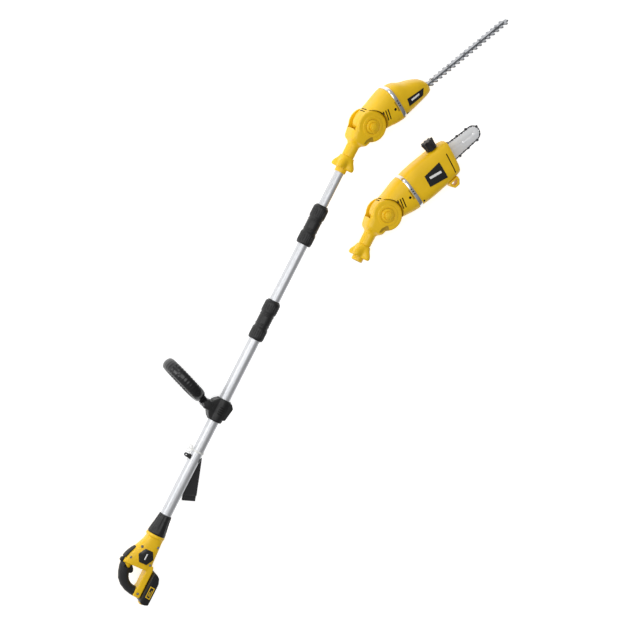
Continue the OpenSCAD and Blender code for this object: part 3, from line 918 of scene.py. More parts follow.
def evenly(points: Sequence[Point], pitch: float, closed: bool = True) -> list[tuple[Point, Point]]:
    """Walk along a line in equal steps.

    Args:
        points: The line's corners.
        pitch: Wanted length of a step.
        closed: The line returns to its start.

    Returns:
        Each stop and the direction of travel there.
    """
    line = [Vector((*p, 0)) for p in points] + ([Vector((*points[0], 0))] if closed else [])
    spans = [(b - a).length for a, b in zip(line, line[1:])]
    total = sum(spans)
    count = max(3, round(total / pitch))
    stops = []
    for i in range(count if closed else count + 1):
        left = min(total * i / count, total - 0.0001)
        for a, b, span in zip(line, line[1:], spans):
            if left <= span and span > 0:
                at, way = a.lerp(b, left / span), (b - a) / span
                stops.append(((at.x, at.y), (way.x, way.y)))
                break
            left -= span
    return stops


def sweep(stops: Sequence[tuple[Point, Point]], reach: Callable[[int, float], float], axis: str,
          sides: int = 24, closed: bool = True, squash: float = 1.0) -> bmesh.types.BMesh:
    """Carry a round section along a flat line.

    Args:
        stops: Places and directions along the line.
        reach: Radius at a stop's number and an angle round the section.
        axis: "XY" for a line in the x y plane, "YZ" for one in the z y plane.
        sides: Sides of the section.
        closed: The line returns to its start.
        squash: Thickness across the plane, as a share of the radius.

    Returns:
        The new mesh, in millimetres.
    """
    bm = bmesh.new()
    rings = []
    for i, (at, way) in enumerate(stops):
        made = bmesh.ops.create_circle(bm, cap_ends=False, radius=1.0, segments=sides)["verts"]
        for vert in made:
            angle = math.atan2(vert.co.y, vert.co.x)
            radius = reach(i, angle)
            out, lift = radius * math.cos(angle), radius * math.sin(angle) * squash
            a, b = at[0] - way[1] * out, at[1] + way[0] * out
            vert.co = (a, b, lift) if axis == "XY" else (lift, b, a)
        rings.append(list({edge for vert in made for edge in vert.link_edges}))
    for here, there in zip(rings, rings[1:] + (rings[:1] if closed else [])):
        bmesh.ops.bridge_loops(bm, edges=here + there)
    if not closed:
        for end in (rings[0], rings[-1]):
            bmesh.ops.edgeloop_fill(bm, edges=end)
    bmesh.ops.recalc_face_normals(bm, faces=bm.faces)
    return bm


def decal(target: bpy.types.Object, place: Matrix, corners: Sequence[Point], lift: float, thick: float,
          cells: int = 10, side: int = 1) -> bmesh.types.BMesh:
    """A thin plate laid on a curved surface.

    Args:
        target: The surface it lies on.
        place: The workshop's placing matrix.
        corners: Four corners as (x, y).
        lift: Height of the plate's top over the surface.
        thick: Thickness of the plate.
        cells: Cells along each side.
        side: 1 for the right side, -1 for the left.

    Returns:
        The new mesh, in millimetres.
    """
    back = place.inverted()
    bm = bmesh.new()
    bmesh.ops.create_grid(bm, x_segments=cells, y_segments=cells, size=0.5)
    a, b, c, d = (Vector((*p, 0)) for p in corners)
    for vert in bm.verts:
        u, v = vert.co.x + 0.5, vert.co.y + 0.5
        at = a.lerp(b, u).lerp(d.lerp(c, u), v)
        start = place @ Vector((at.x, at.y, 300.0 * side))
        way = (place @ Vector((at.x, at.y, 0)) - start).normalized()
        hit, where, _, _ = target.ray_cast(start, way)
        surface = (back @ where).z if hit else 40.0 * side
        vert.co = (at.x, at.y, surface + lift * side)
    out = bmesh.ops.extrude_face_region(bm, geom=bm.faces[:])
    low = [item for item in out["geom"] if isinstance(item, bmesh.types.BMVert)]
    bmesh.ops.translate(bm, verts=low, vec=(0, 0, -thick * side))
    bmesh.ops.recalc_face_normals(bm, faces=bm.faces)
    return bm


# ---- Rear handle --------------------------------------------------------------------------------


@dataclass
class RearHandle:
    """D-shaped rear handle: two yellow shells, a soft grip, trigger, button, badges and boot."""

    shop: Workshop
    body: str = "pole_base"
    parting: float = 0.15
    voxel: float = 1.3
    screws: tuple[Point, ...] = ((-166, -20), (-226, 46), (-226, -22), (-322, -28), (-182, 28))
    neck_run: tuple[tuple[float, ...], ...] = (
        (-132, 27, 27, 25.5), (-146, 25.5, 28, 24.5), (-160, 29, 29, 24), (-175, 36, 30, 24), (-192, 44, 31, 24),
        (-208, 51, 32, 24), (-222, 56, 33.5, 24), (-236, 59, 35, 23.5), (-247, 60, 37, 22.5))
    grip_run: tuple[tuple[float, ...], ...] = (
        (-248, 45, 17.5, 6), (-262, 43.5, 17, 12), (-280, 39, 16, 18), (-296, 31.5, 15.5, 32), (-308, 20, 14.5, 52),
        (-316, 6, 13.8, 72), (-320, -8, 13.8, 85), (-321, -20, 14.5, 90), (-320, -32, 16.5, 94))

    def build(self) -> None:
        """Make every piece of the handle."""
        self.shells()
        self.grip()
        self.controls()
        self.trim()

    def arm(self, grow: float) -> bmesh.types.BMesh:
        """The curved grip, made thicker by an amount."""
        return loft([Station(x, y, r + grow, r + grow, 16.2 + grow, 2.3, turn) for x, y, r, turn in self.grip_run],
                    40)

    def shells(self) -> None:
        """The two yellow halves, fused from their forms and parted on the middle plane."""
        whole = loft([Station(x, 0, up, down, half, 2.9) for x, up, down, half in self.neck_run], 56)
        join(whole, self.arm(-1.6))
        base = [(-222, -22), (-234, -19), (-300, -19.5), (-312, -16), (-334, -17), (-335, -39), (-328, -40.4),
                (-244, -40.4), (-228, -37)]
        join(whole, plate(base, -21, 21, 3.0, 3))
        join(whole, turned([(-142, 0), (-142, 29), (-140, 31), (-134, 31), (-132, 29.5), (-132, 0)]))
        shell = melt(self.shop.solid(whole, "handle_whole", [Finish.YELLOW, Finish.DARK]), self.voxel, 5)
        # The trigger, button and screw cutters line their openings with near-black: painted shade.
        cutters = [self.shop.solid(brick((-281, 12, -8.2), (-243, 46, 8.2), 1.5), "trigger_cut", [Finish.DARK]),
                   self.shop.solid(brick((-255.5, 43, -8.2), (-234.5, 80, 8.2), 1.5), "button_cut", [Finish.DARK])]
        for i, (x, y) in enumerate(self.screws):
            cutters.append(self.shop.solid(rod((x, y, 18), (x, y, 40), 4.2), f"screw_cut_{i}", [Finish.DARK]))
        carve(shell, cutters)
        middle = self.shop.place @ Vector((0, 0, 0))
        for side, name in ((1, "handle_shell_right"), (-1, "handle_shell_left")):
            at = middle + Vector((0, 0, side * self.parting * MM))
            half = halve(shell, name + "_moulded", side > 0, at, Vector((0, 0, 1)))
            self.shop.finish(half, self.body, "yellow_plastic", [name], 38)
        bpy.data.objects.remove(shell)

    def grip(self) -> None:
        """The soft cover round the curved grip, and the strip on the shoulder."""
        cover = self.arm(0.9)
        cut = [face for face in cover.faces if face.calc_center_median().x > -256]
        bmesh.ops.delete(cover, geom=cut, context="FACES")
        rim = [edge for edge in cover.edges if edge.is_boundary]
        bmesh.ops.holes_fill(cover, edges=rim, sides=0)
        self.shop.piece(cover, "rear_grip_cover", self.body, "grip_rubber", [Finish.RUBBER], ["rear_grip"], 50)
        strip = loft([Station(x, y, 4.5, 6, half, 2.6, turn) for x, y, half, turn in
                      ((-190, 42, 9, 28), (-200, 48, 13, 26), (-214, 54.5, 14, 22), (-226, 58.5, 14, 14),
                       (-234, 60, 12, 6))], 32)
        self.shop.piece(strip, "handle_top_strip", self.body, "grip_rubber", [Finish.RUBBER])

    def controls(self) -> None:
        """Trigger and lock-off button."""
        lever = plate([(-245, 39), (-252, 39), (-273, 33), (-276, 22), (-272, 15), (-266, 13.5), (-259, 16),
                       (-251, 23), (-246, 30)], -7.4, 7.4, 2.2, 3)
        join(lever, rod((-247, 37, -8.2), (-247, 37, 8.2), 2.8))
        self.shop.piece(lever, "trigger_lever", "trigger", "black_plastic", [Finish.BLACK], ["trigger"])
        cap = plate([(-253.5, 52), (-253.5, 63), (-249, 68), (-241, 68), (-236.5, 63), (-236.5, 52)],
                    -7.2, 7.2, 1.6, 3)
        for x in (-248.5, -245, -241.5):
            join(cap, brick((x - 0.7, 67.4, -5.5), (x + 0.7, 68.8, 5.5), 0.4))
        self.shop.piece(cap, "lock_off_cap", "lock_off_button", "black_plastic", [Finish.BLACK],
                        ["lock_off_button"])

    def trim(self) -> None:
        """Hexagonal badges, screws and the rubber boot round the tube."""
        badges = None
        for side in (1, -1):
            for radius, low, high, index in ((29.5, 22.5, 25.2, 0), (26.5, 25.2, 26.5, 1)):
                hexagon = [(-206 + radius * math.cos(math.radians(60 * i + 30)),
                            4 + radius * math.sin(math.radians(60 * i + 30))) for i in range(6)]
                step = paint(plate(hexagon, min(low * side, high * side), max(low * side, high * side), 0.8, 2),
                             index)
                badges = step if badges is None else join(badges, step)
            stripe = brick((-216, 2, 26.2 * side - 0.5), (-196, 6, 26.2 * side + 0.6), 0.2)
            join(badges, paint(stripe, 2))
        self.shop.piece(badges, "hexagon_badges", self.body, "black_plastic",
                        [Finish.YELLOW, Finish.BADGE, Finish.STRIPE], ["hex_badges"])
        heads = None
        for x, y in self.screws:
            head = moved(drum(3.4, 20.5, 22.6, 0.5, 24), upright(x, y))
            # The near-black bar across each screw head is painted shade standing for its slot.
            join(head, paint(moved(brick((-2.4, -0.5, 22.3), (2.4, 0.5, 22.75), 0.1), Matrix.Translation((x, y, 0))),
                             1))
            heads = head if heads is None else join(heads, head)
        self.shop.piece(heads, "handle_screw_heads", self.body, "steel", [Finish.STEEL, Finish.DARK],
                        ["handle_screws"])
        profile = [(-132, 18.2), (-132, 28.5), (-130.5, 29.4), (-124, 29.4), (-122, 28.6), (-112, 26.6),
                   (-96, 23.8), (-84, 21.9), (-74, 20.8), (-67, 20.0), (-65, 19.0), (-65, 18.2)]
        boot = ripple(turned(profile, 96), 12, lambda x, r: 0.9 if r > 19.5 and x > -122 else 0.0)
        self.shop.piece(boot, "tube_boot_moulded", self.body, "black_plastic", [Finish.BLACK], ["tube_boot"])


# ---- Battery ------------------------------------------------------------------------------------


@dataclass
class BatteryPack:
    """Slide-on battery under the handle."""

    shop: Workshop
    half: float = 35.2
    outline: tuple[Point, ...] = ((-345.4, -49), (-338, -41.6), (-239, -41.6), (-243, -55), (-250.5, -65),
                                  (-268, -71.6), (-341.5, -71.6), (-345.4, -60))

    def build(self) -> None:
        """Make the case, its label and the latch."""
        case = plate(self.outline, -self.half, self.half, 3.2, 4)
        case = self.shop.solid(case, "battery_moulded", [Finish.BLACK, Finish.DARK])
        # The cutters line the latch pocket and grip grooves with near-black as painted shade, and the seam with a
        # dark joint line.
        cuts = [self.shop.solid(brick((-352, -62.8, -13.3), (-338, -49.2, 13.3), 0.8), "latch_cut", [Finish.DARK]),
                self.shop.solid(brick((-350, -55.4, 34.4), (-230, -54.4, 40), 0.1), "seam_cut", [Finish.DARK])]
        for i in range(5):
            cuts.append(self.shop.solid(brick((-262 + i * 3.2, -50, 34.5), (-260.6 + i * 3.2, -45, 40), 0.3),
                                        f"grip_cut_{i}", [Finish.DARK]))
        carve(case, cuts)
        self.shop.finish(case, "battery", "black_plastic", ["battery_case"], 40)
        label = None
        for corners, low, high, index in (
                ([(-320, -50), (-282, -50), (-284, -66), (-322, -66)], 35.0, 35.9, 0),
                ([(-317.5, -52.5), (-285, -52.5), (-286.5, -63.5), (-319.5, -63.5)], 35.8, 36.1, 1),
                ([(-313, -55), (-299, -55), (-299.5, -57), (-313.5, -57)], 36.0, 36.3, 0),
                ([(-314, -59.5), (-293, -59.5), (-293.5, -61), (-314.5, -61)], 36.0, 36.3, 0)):
            step = paint(plate(corners, low, high, 0.25, 1), index)
            label = step if label is None else join(label, step)
        self.shop.piece(label, "battery_label_plate", "battery", "yellow_plastic", [Finish.YELLOW, Finish.BADGE],
                        ["battery_label"])
        latch = brick((-350, -62, -12.5), (-344, -50, 12.5), 1.2, 3)
        for i in range(3):
            join(latch, brick((-350.8, -60 + i * 3.4, -9), (-349.5, -58.6 + i * 3.4, 9), 0.4))
        self.shop.piece(latch, "battery_latch_button", "battery_latch", "yellow_plastic", [Finish.YELLOW],
                        ["battery_latch"])


# ---- Pole ---------------------------------------------------------------------------------------


@dataclass
class TelescopingPole:
    """Three tubes and the two twist collars that lock them."""

    shop: Workshop
    lower_r: float = 18.0
    middle_r: float = 16.5
    upper_r: float = 15.0
    wall: float = 1.45

    def build(self) -> None:
        """Make tubes and collars."""
        for name, body, x0, x1, r in (("lower_tube", "pole_base", -150, 608, self.lower_r),
                                      ("middle_tube", "middle_section", 110, 938, self.middle_r),
                                      ("upper_tube", "upper_section", 440, 1197, self.upper_r)):
            self.shop.piece(self.tube(x0, x1, r), name + "_anodised", body, "tube_aluminium", [Finish.TUBE],
                            [name])
        for name, body, front, outer, inner in (
                ("lower_lock_collar", "lower_collar", 678, self.lower_r, self.middle_r),
                ("upper_lock_collar", "upper_collar", 1008, self.middle_r, self.upper_r)):
            self.shop.piece(self.collar(front, outer, inner), name + "_sleeve", body, "black_plastic",
                            [Finish.BLACK, Finish.RUBBER], [name], 30)

    def tube(self, start: float, end: float, radius: float) -> bmesh.types.BMesh:
        """A tube with eased ends."""
        inner = radius - self.wall
        return turned([(start, inner), (start, radius - 0.4), (start + 0.4, radius), (end - 0.4, radius),
                       (end, radius - 0.4), (end, inner)], 64)

    def collar(self, front: float, outer: float, inner: float) -> bmesh.types.BMesh:
        """A twist collar: two wide grips with a waist between them.

        Args:
            front: The end towards the head.
            outer: Radius of the outer tube.
            inner: Radius of the inner tube.

        Returns:
            The new mesh, in millimetres.
        """
        back, bore = front - 134, outer + 2.3
        profile = [(back, outer + 0.4), (back, 21.5), (back + 2, 23.2), (back + 6, 24.4)]
        profile += [(back + 8, 24.8), (back + 36, 24.8), (back + 39, 24.2), (back + 41, 22.6), (back + 43.5, 21.9)]
        profile += [(back + 48, 21.9), (back + 50, 23.3), (back + 52, 23.3), (back + 54, 21.9)]
        profile += [(back + 60, 22.3), (back + 76, 22.3), (front - 54, 21.9), (front - 52, 23.3),
                    (front - 50, 23.3), (front - 48, 21.9)]
        profile += [(front - 44, 22.4), (front - 41, 24.2), (front - 38, 24.8), (front - 12, 24.8), (front - 8, 24.3),
                    (front - 5, 22.8), (front - 3, 20.4), (front, 19.6), (front, inner + 0.4)]
        profile += [(front - 6, inner + 0.4), (front - 6, bore), (back + 6, bore), (back + 6, outer + 0.4)]
        bm = turned(profile, 120)
        zones = ((back + 9, back + 35), (front - 37, front - 13))
        loops = [edge for edge in bm.edges if abs(edge.verts[0].co.x - edge.verts[1].co.x) > 20
                 and math.hypot(edge.verts[0].co.y, edge.verts[0].co.z) > 24]
        bmesh.ops.subdivide_edges(bm, edges=loops, cuts=8)
        for vert in bm.verts:
            radius = math.hypot(vert.co.y, vert.co.z)
            if radius > 24.5 and any(a < vert.co.x < b for a, b in zones):
                step = round(math.degrees(math.atan2(vert.co.z, vert.co.y)) / 3) % 6
                sink = 1.1 if step in (0, 1) else 0.0
                vert.co.y *= (radius - sink) / radius
                vert.co.z *= (radius - sink) / radius
        return bm


# ---- Loop handle --------------------------------------------------------------------------------


@dataclass
class LoopHandle:
    """Front loop, the clamp that holds it on the tube and the clamp's knob."""

    shop: Workshop
    pivot: Point = (301.0, 49.0)
    lean: float = 20.0
    height: float = 186.0
    half: float = 70.0
    bar: float = 13.0
    wide: float = 20.0
    clamp_body: str = "loop_clamp"

    def build(self) -> None:
        """Make the loop, the clamp and the knob."""
        self.loop()
        self.clamp()
        self.knob()

    def loop(self) -> None:
        """The glossy loop with a ribbed outer face."""
        w, h = self.half - self.bar, self.height - self.bar
        corners = [(-26, 34), (26, 34), (w, 66), (w, h - 36), (w - 34, h), (34 - w, h), (-w, h - 36), (-w, 66)]
        stops = evenly(cut_corners(corners, 4), 3.4)

        def reach(i: int, angle: float) -> float:
            """Radius of the bar: ribs on the outer side, smooth inside."""
            z, y = stops[i][0]
            full = 1 / math.hypot(math.cos(angle) / self.bar, math.sin(angle) / self.wide)
            ribbed = y > 70 and i % 3 == 0
            outside = abs(math.sin(angle)) > 0.35 or math.cos(angle) < 0
            return full - (1.5 if ribbed and outside else 0.15)

        ring = sweep(stops, reach, "YZ", 28)
        join(ring, plate([(-11, 5), (11, 5), (15, 36), (-15, 36)], -12, 12, 2.0, 3))
        join(ring, moved(drum(15, -12, 12, 2.0, 48), upright(0, 0)))
        turn = Matrix.Translation((self.pivot[0], self.pivot[1], 0)) @ Matrix.Rotation(
            math.radians(-self.lean), 4, "Z")
        self.shop.piece(moved(ring, turn), "loop_bar", "loop_handle", "loop_plastic", [Finish.GLOSS_BLACK],
                        ["loop_handle"], 42)

    def clamp(self) -> None:
        """The two-jaw clamp round the tube, with ears for the loop."""
        sleeve = turned([(262, 18.3), (262, 23), (264, 24.8), (268, 25.3), (330, 25.3), (334, 24.6), (336, 22.8),
                         (336, 18.3)], 72)
        block = [(265, 2), (265, 24), (281, 35), (320, 35), (333, 22), (333, -24), (320, -35), (277, -28)]
        join(sleeve, plate(block, -19.6, 19.6, 2.6, 3))
        for low, high in ((-20, -12.6), (12.6, 20)):
            join(sleeve, moved(drum(15, low, high, 1.6, 40), upright(*self.pivot)))
            join(sleeve, brick((286.4, 20, low), (315.6, 49, high), 1.4))
        whole = melt(self.shop.solid(sleeve, "clamp_jaws", [Finish.BLACK, Finish.DARK]), 0.9, 2)
        # The cutters line the bore and rib grooves with near-black as painted shade, and the split with a dark joint
        # line.
        cuts = [self.shop.solid(rod((250, 0, 0), (350, 0, 0), 18.06, 64), "tube_cut", [Finish.DARK]),
                self.shop.solid(brick((255, -60, -1.0), (345, 0, 1.0), 0.2), "split_cut", [Finish.DARK])]
        for i in range(4):
            cuts.append(self.shop.solid(brick((287 + i * 7, -8, 22.5), (290 + i * 7, 8, 30), 0.5),
                                        f"rib_cut_{i}", [Finish.DARK]))
        carve(whole, cuts)
        self.shop.finish(whole, self.clamp_body, "black_plastic", ["loop_clamp"], 40)

    def knob(self) -> None:
        """The star knob on its bolt."""
        knob = ripple(drum(15.2, 20.4, 35.8, 2.4, 96), 6, lambda x, r: 1.6 if r > 9 else 0.0)
        join(knob, rod((-26, 0, 0), (21, 0, 0), 4.0))
        join(knob, rod((-26, 0, 0), (-20.3, 0, 0), 8.0, 6))
        join(knob, drum(7, 35, 36.6, 0.6, 40))
        self.shop.piece(moved(knob, upright(*self.pivot)), "clamp_star_knob", "clamp_knob", "black_plastic",
                        [Finish.BLACK], ["clamp_knob"], 42)


# ---- Strap and tie ------------------------------------------------------------------------------


@dataclass
class CarryStrap:
    """Strap ring on the tube, the folded webbing that hangs from it, and a white twist tie."""

    shop: Workshop
    body: str = "pole_base"
    width: float = 43.0
    thick: float = 1.7
    start: Point = (139.0, -8.0)
    end: Point = (-2.0, -58.0)

    def build(self) -> None:
        """Make the ring, the webbing and the tie."""
        self.ring()
        self.webbing()
        self.tie()

    def ring(self) -> None:
        """The clamped ring with its eye and the loop for the strap."""
        soften_node(self.shop, "strap_hook", Finish.BLACK, 0.7, "black_plastic")

    def webbing(self) -> None:
        """Four folded layers of flat webbing."""
        run = Vector((self.end[0] - self.start[0], self.end[1] - self.start[1], 0))
        length = run.length
        run.normalize()
        across = Vector((-run.y, run.x, 0))
        line: list[tuple[float, float]] = []
        levels = (-38.2, -34.6, -30.9, -27.2)
        spans = ((2, length - 3), (length - 3, 26), (26, length - 22), (length - 22, 8))
        for number, (level, (a, b)) in enumerate(zip(levels, spans)):
            for i in range(13):
                t = i / 12
                along = a + (b - a) * t
                line.append((along, level + 0.55 * math.sin(along * 0.055 + number * 1.7)))
            if number < 3:
                turn = 1 if b > a else -1
                line += [(b + turn * 1.8 * math.sin(math.pi * k / 6), level + 3.6 * (k / 6)) for k in range(1, 6)]
        bm = bmesh.new()
        layer = bm.loops.layers.uv.new("UVMap")
        rows, travelled = [], 0.0
        for i, (along, z) in enumerate(line):
            if i:
                travelled += math.dist(line[i - 1], line[i])
            centre = Vector((self.start[0], self.start[1], 0)) + run * along + Vector((0, 0, z))
            rows.append((travelled, [bm.verts.new(centre + across * self.width * (k / 8 - 0.5) +
                                                  Vector((0, 0, 0.5 * math.cos(k * 0.8)))) for k in range(9)]))
        for (s0, low), (s1, high) in zip(rows, rows[1:]):
            for k in range(8):
                face = bm.faces.new((low[k], low[k + 1], high[k + 1], high[k]))
                corners = ((s0, k), (s0, k + 1), (s1, k + 1), (s1, k))
                for loop, (s, c) in zip(face.loops, corners):
                    loop[layer].uv = (s * MM, c / 8 * self.width * MM)
        strap = self.shop.solid(bm, "strap_webbing", [Finish.WEBBING])
        body = strap.modifiers.new("thickness", "SOLIDIFY")
        body.thickness = self.thick * MM
        body.offset = 0
        settle(strap)
        self.shop.finish(strap, self.body, "webbing", ["shoulder_strap"], 50)

    def tie(self) -> None:
        """Twisted white wire with a small bow."""
        wire = sweep([((19.3 * math.cos(a), 19.3 * math.sin(a)), (-math.sin(a), math.cos(a)))
                      for a in (math.tau * i / 72 for i in range(72))], lambda i, a: 1.15, "YZ", 10)
        moved(wire, Matrix.Translation((153, 0, 0)))
        second = sweep([((19.2 * math.cos(a), 19.2 * math.sin(a)), (-math.sin(a), math.cos(a)))
                        for a in (math.tau * i / 72 for i in range(72))], lambda i, a: 1.1, "YZ", 10)
        join(wire, moved(second, Matrix.Translation((155.4, 0, 0)) @ Matrix.Rotation(math.radians(3), 4, "Z")))
        for lean, reach_out in ((38, 17.0), (-36, 15.0)):
            bow = sweep([((reach_out * (0.5 - 0.5 * math.cos(a)) + 1, 5.6 * math.sin(a)),
                          Vector((reach_out * 0.5 * math.sin(a), 5.6 * math.cos(a))).normalized()[:])
                         for a in (math.tau * (i + 0.5) / 32 for i in range(32))], lambda i, a: 0.95, "XY", 10)
            join(wire, moved(bow, Matrix.Translation((154, 20.6, 0)) @ Matrix.Rotation(
                math.radians(90 + lean), 4, "Z")))
        for x, y, z in ((166, 30, 7), (141, 27, 9)):
            join(wire, rod((154, 20.6, 1), (x, y, z), 1.0, 10))
        self.shop.piece(wire, "white_twist_tie", self.body, "tie_plastic", [Finish.TIE], ["twist_tie"], 60)


# ---- Parts that both heads share ------------------------------------------------------------------


@dataclass
class NeckJoint:
    """Swivel neck of a head: socket, hub with two ears, lobed lock nut, axle and tilt button."""

    head: str
    neck_shop: Workshop
    head_shop: Workshop
    length: float = 140.0
    drop: float = 12.0
    hub: float = 49.6
    ear_out: float = 37.0
    ear_in: float = 27.0
    lift: float = 5.0
    voxel: float = 1.35
    tongue: float = 57.5
    socket: float = 15.1
    recess: float = 22.4
    vents: int = 3

    def build(self) -> None:
        """Make the neck, the nut and the button."""
        self.neck()
        self.nut()
        self.button()

    def neck(self) -> None:
        """The fused socket and hub, slotted for the housing's tongue."""
        shop, x, y = self.neck_shop, self.length, -self.drop
        form = turned([(-30, 0), (-30, 18.2), (24, 18.2), (27, 19.6), (60, 20.0), (92, 20.5), (92, 0)], 64)
        flare = [Station(62, 0, 18, 18, 19, 2.3), Station(70, 0, 22, 22, 24, 2.6), Station(76, 0, 29, 29, 34, 3.4),
                 Station(82, 0, 32, 32.5, 36.4, 4.0), Station(100, 0, 35, 38, 36.9, 4.5),
                 Station(122, 0, 37, 45, 36.9, 4.5), Station(140, 0, 36, 50, 36.9, 4.5)]
        join(form, loft(flare, 64))
        join(form, moved(drum(self.hub, -self.ear_out, self.ear_out, 5.0, 72), upright(x, y)))
        neck = melt(shop.solid(form, self.head + "_neck_form", [Finish.YELLOW, Finish.YELLOW, Finish.DARK]),
                    self.voxel, 6)
        inside = self.ear_in - 0.1
        # The cutters paint shade into the neck: near-black in the socket and vents, darker yellow in the button
        # recess and side pocket.
        cuts = [shop.solid(moved(drum(self.tongue, -inside, inside, 0.01, 96), upright(x, y)), "tongue_cut",
                           [Finish.YELLOW]),
                shop.solid(rod((-32, 0, 0), (42, 0, 0), self.socket, 48), "socket_cut", [Finish.DARK]),
                shop.solid(rod((x, y, 29.0), (x, y, 60), self.recess, 64), "button_cut", [Finish.GOLD]),
                shop.solid(plate([(80, -30), (103, -38), (113, -27), (95, -14), (80, -12)], 35.2, 50, 0.4),
                           "pocket_cut", [Finish.GOLD])]
        for i in range(self.vents):
            cuts.append(shop.solid(brick((108 + i * 9, 30, -14), (111 + i * 9, 60, 14), 0.8),
                                   f"vent_cut_{i}", [Finish.DARK]))
        carve(neck, cuts)
        shop.finish(neck, self.head + "_neck", "yellow_plastic", [self.head + "_neck"], 32)
        seat = [(36.4, 24.2), (36.4, 33.2), (37.6, 33.2), (38.6, 32.0), (38.6, 25.6), (37.6, 24.2)]
        ring = moved(turned(seat, 96), upright(x, y))
        shop.piece(ring, self.head + "_seat_ring", self.head + "_neck", "yellow_plastic", [Finish.YELLOW])

    def nut(self) -> None:
        """The flared four-lobed lock nut."""
        profile = [(-16, 18.8), (-16, 27), (-14, 29.5), (-9, 31), (-2, 30.4), (6, 27.6), (13, 25), (19, 23.6),
                   (23, 22.8), (24, 21.6), (24, 18.8)]

        def lobes(x: float, radius: float) -> float:
            """Lobes are deep at the flare and fade towards the head."""
            return 0.0 if radius < 19.5 else 7.6 * max(0.12, min(1.0, (20 - x) / 26))

        nut = ripple(turned(profile, 160), 4, lobes, 45)
        self.neck_shop.piece(nut, self.head + "_lobed_nut", self.head + "_lock_nut", "yellow_plastic",
                             [Finish.YELLOW], [self.head + "_lock_nut"], 48)

    def button(self) -> None:
        """The round tilt button with its star-shaped cap, and the axle behind it."""
        disc = drum(21.8, 33.2, 40.8, 1.8, 96, 0.2)
        rim = [(40.2, 13.6), (40.2, 18.2), (41.6, 18.2), (42.0, 17.6), (42.0, 14.2), (41.6, 13.6)]
        join(disc, turned(rim, 72))
        cap = ripple(drum(12.4, 40, 47.8, 1.6, 96, 0.2), 6, lambda x, r: 0.9 if r > 9 else 0.0)
        star = ripple(turned([(47.2, 0), (47.2, 8.2), (48.6, 8.2), (49.0, 7.6), (49.0, 0)], 72), 6,
                      lambda x, r: 1.3 if r > 5 else 0.0, 30)
        join(join(disc, cap), star)
        place = upright(0, -self.lift)
        self.head_shop.piece(moved(disc, place), self.head + "_tilt_knob", self.head + "_tilt_button",
                             "yellow_plastic", [Finish.YELLOW], [self.head + "_tilt_button"], 40)
        axle = moved(drum(6, -36.5, 28.8, 0.6, 48), place)
        join(axle, moved(drum(12.8, -36.9, -33.5, 0.8, 6), place))
        self.head_shop.piece(axle, self.head + "_axle", self.head + "_head", "steel", [Finish.STEEL],
                             [self.head + "_pivot_axle"])


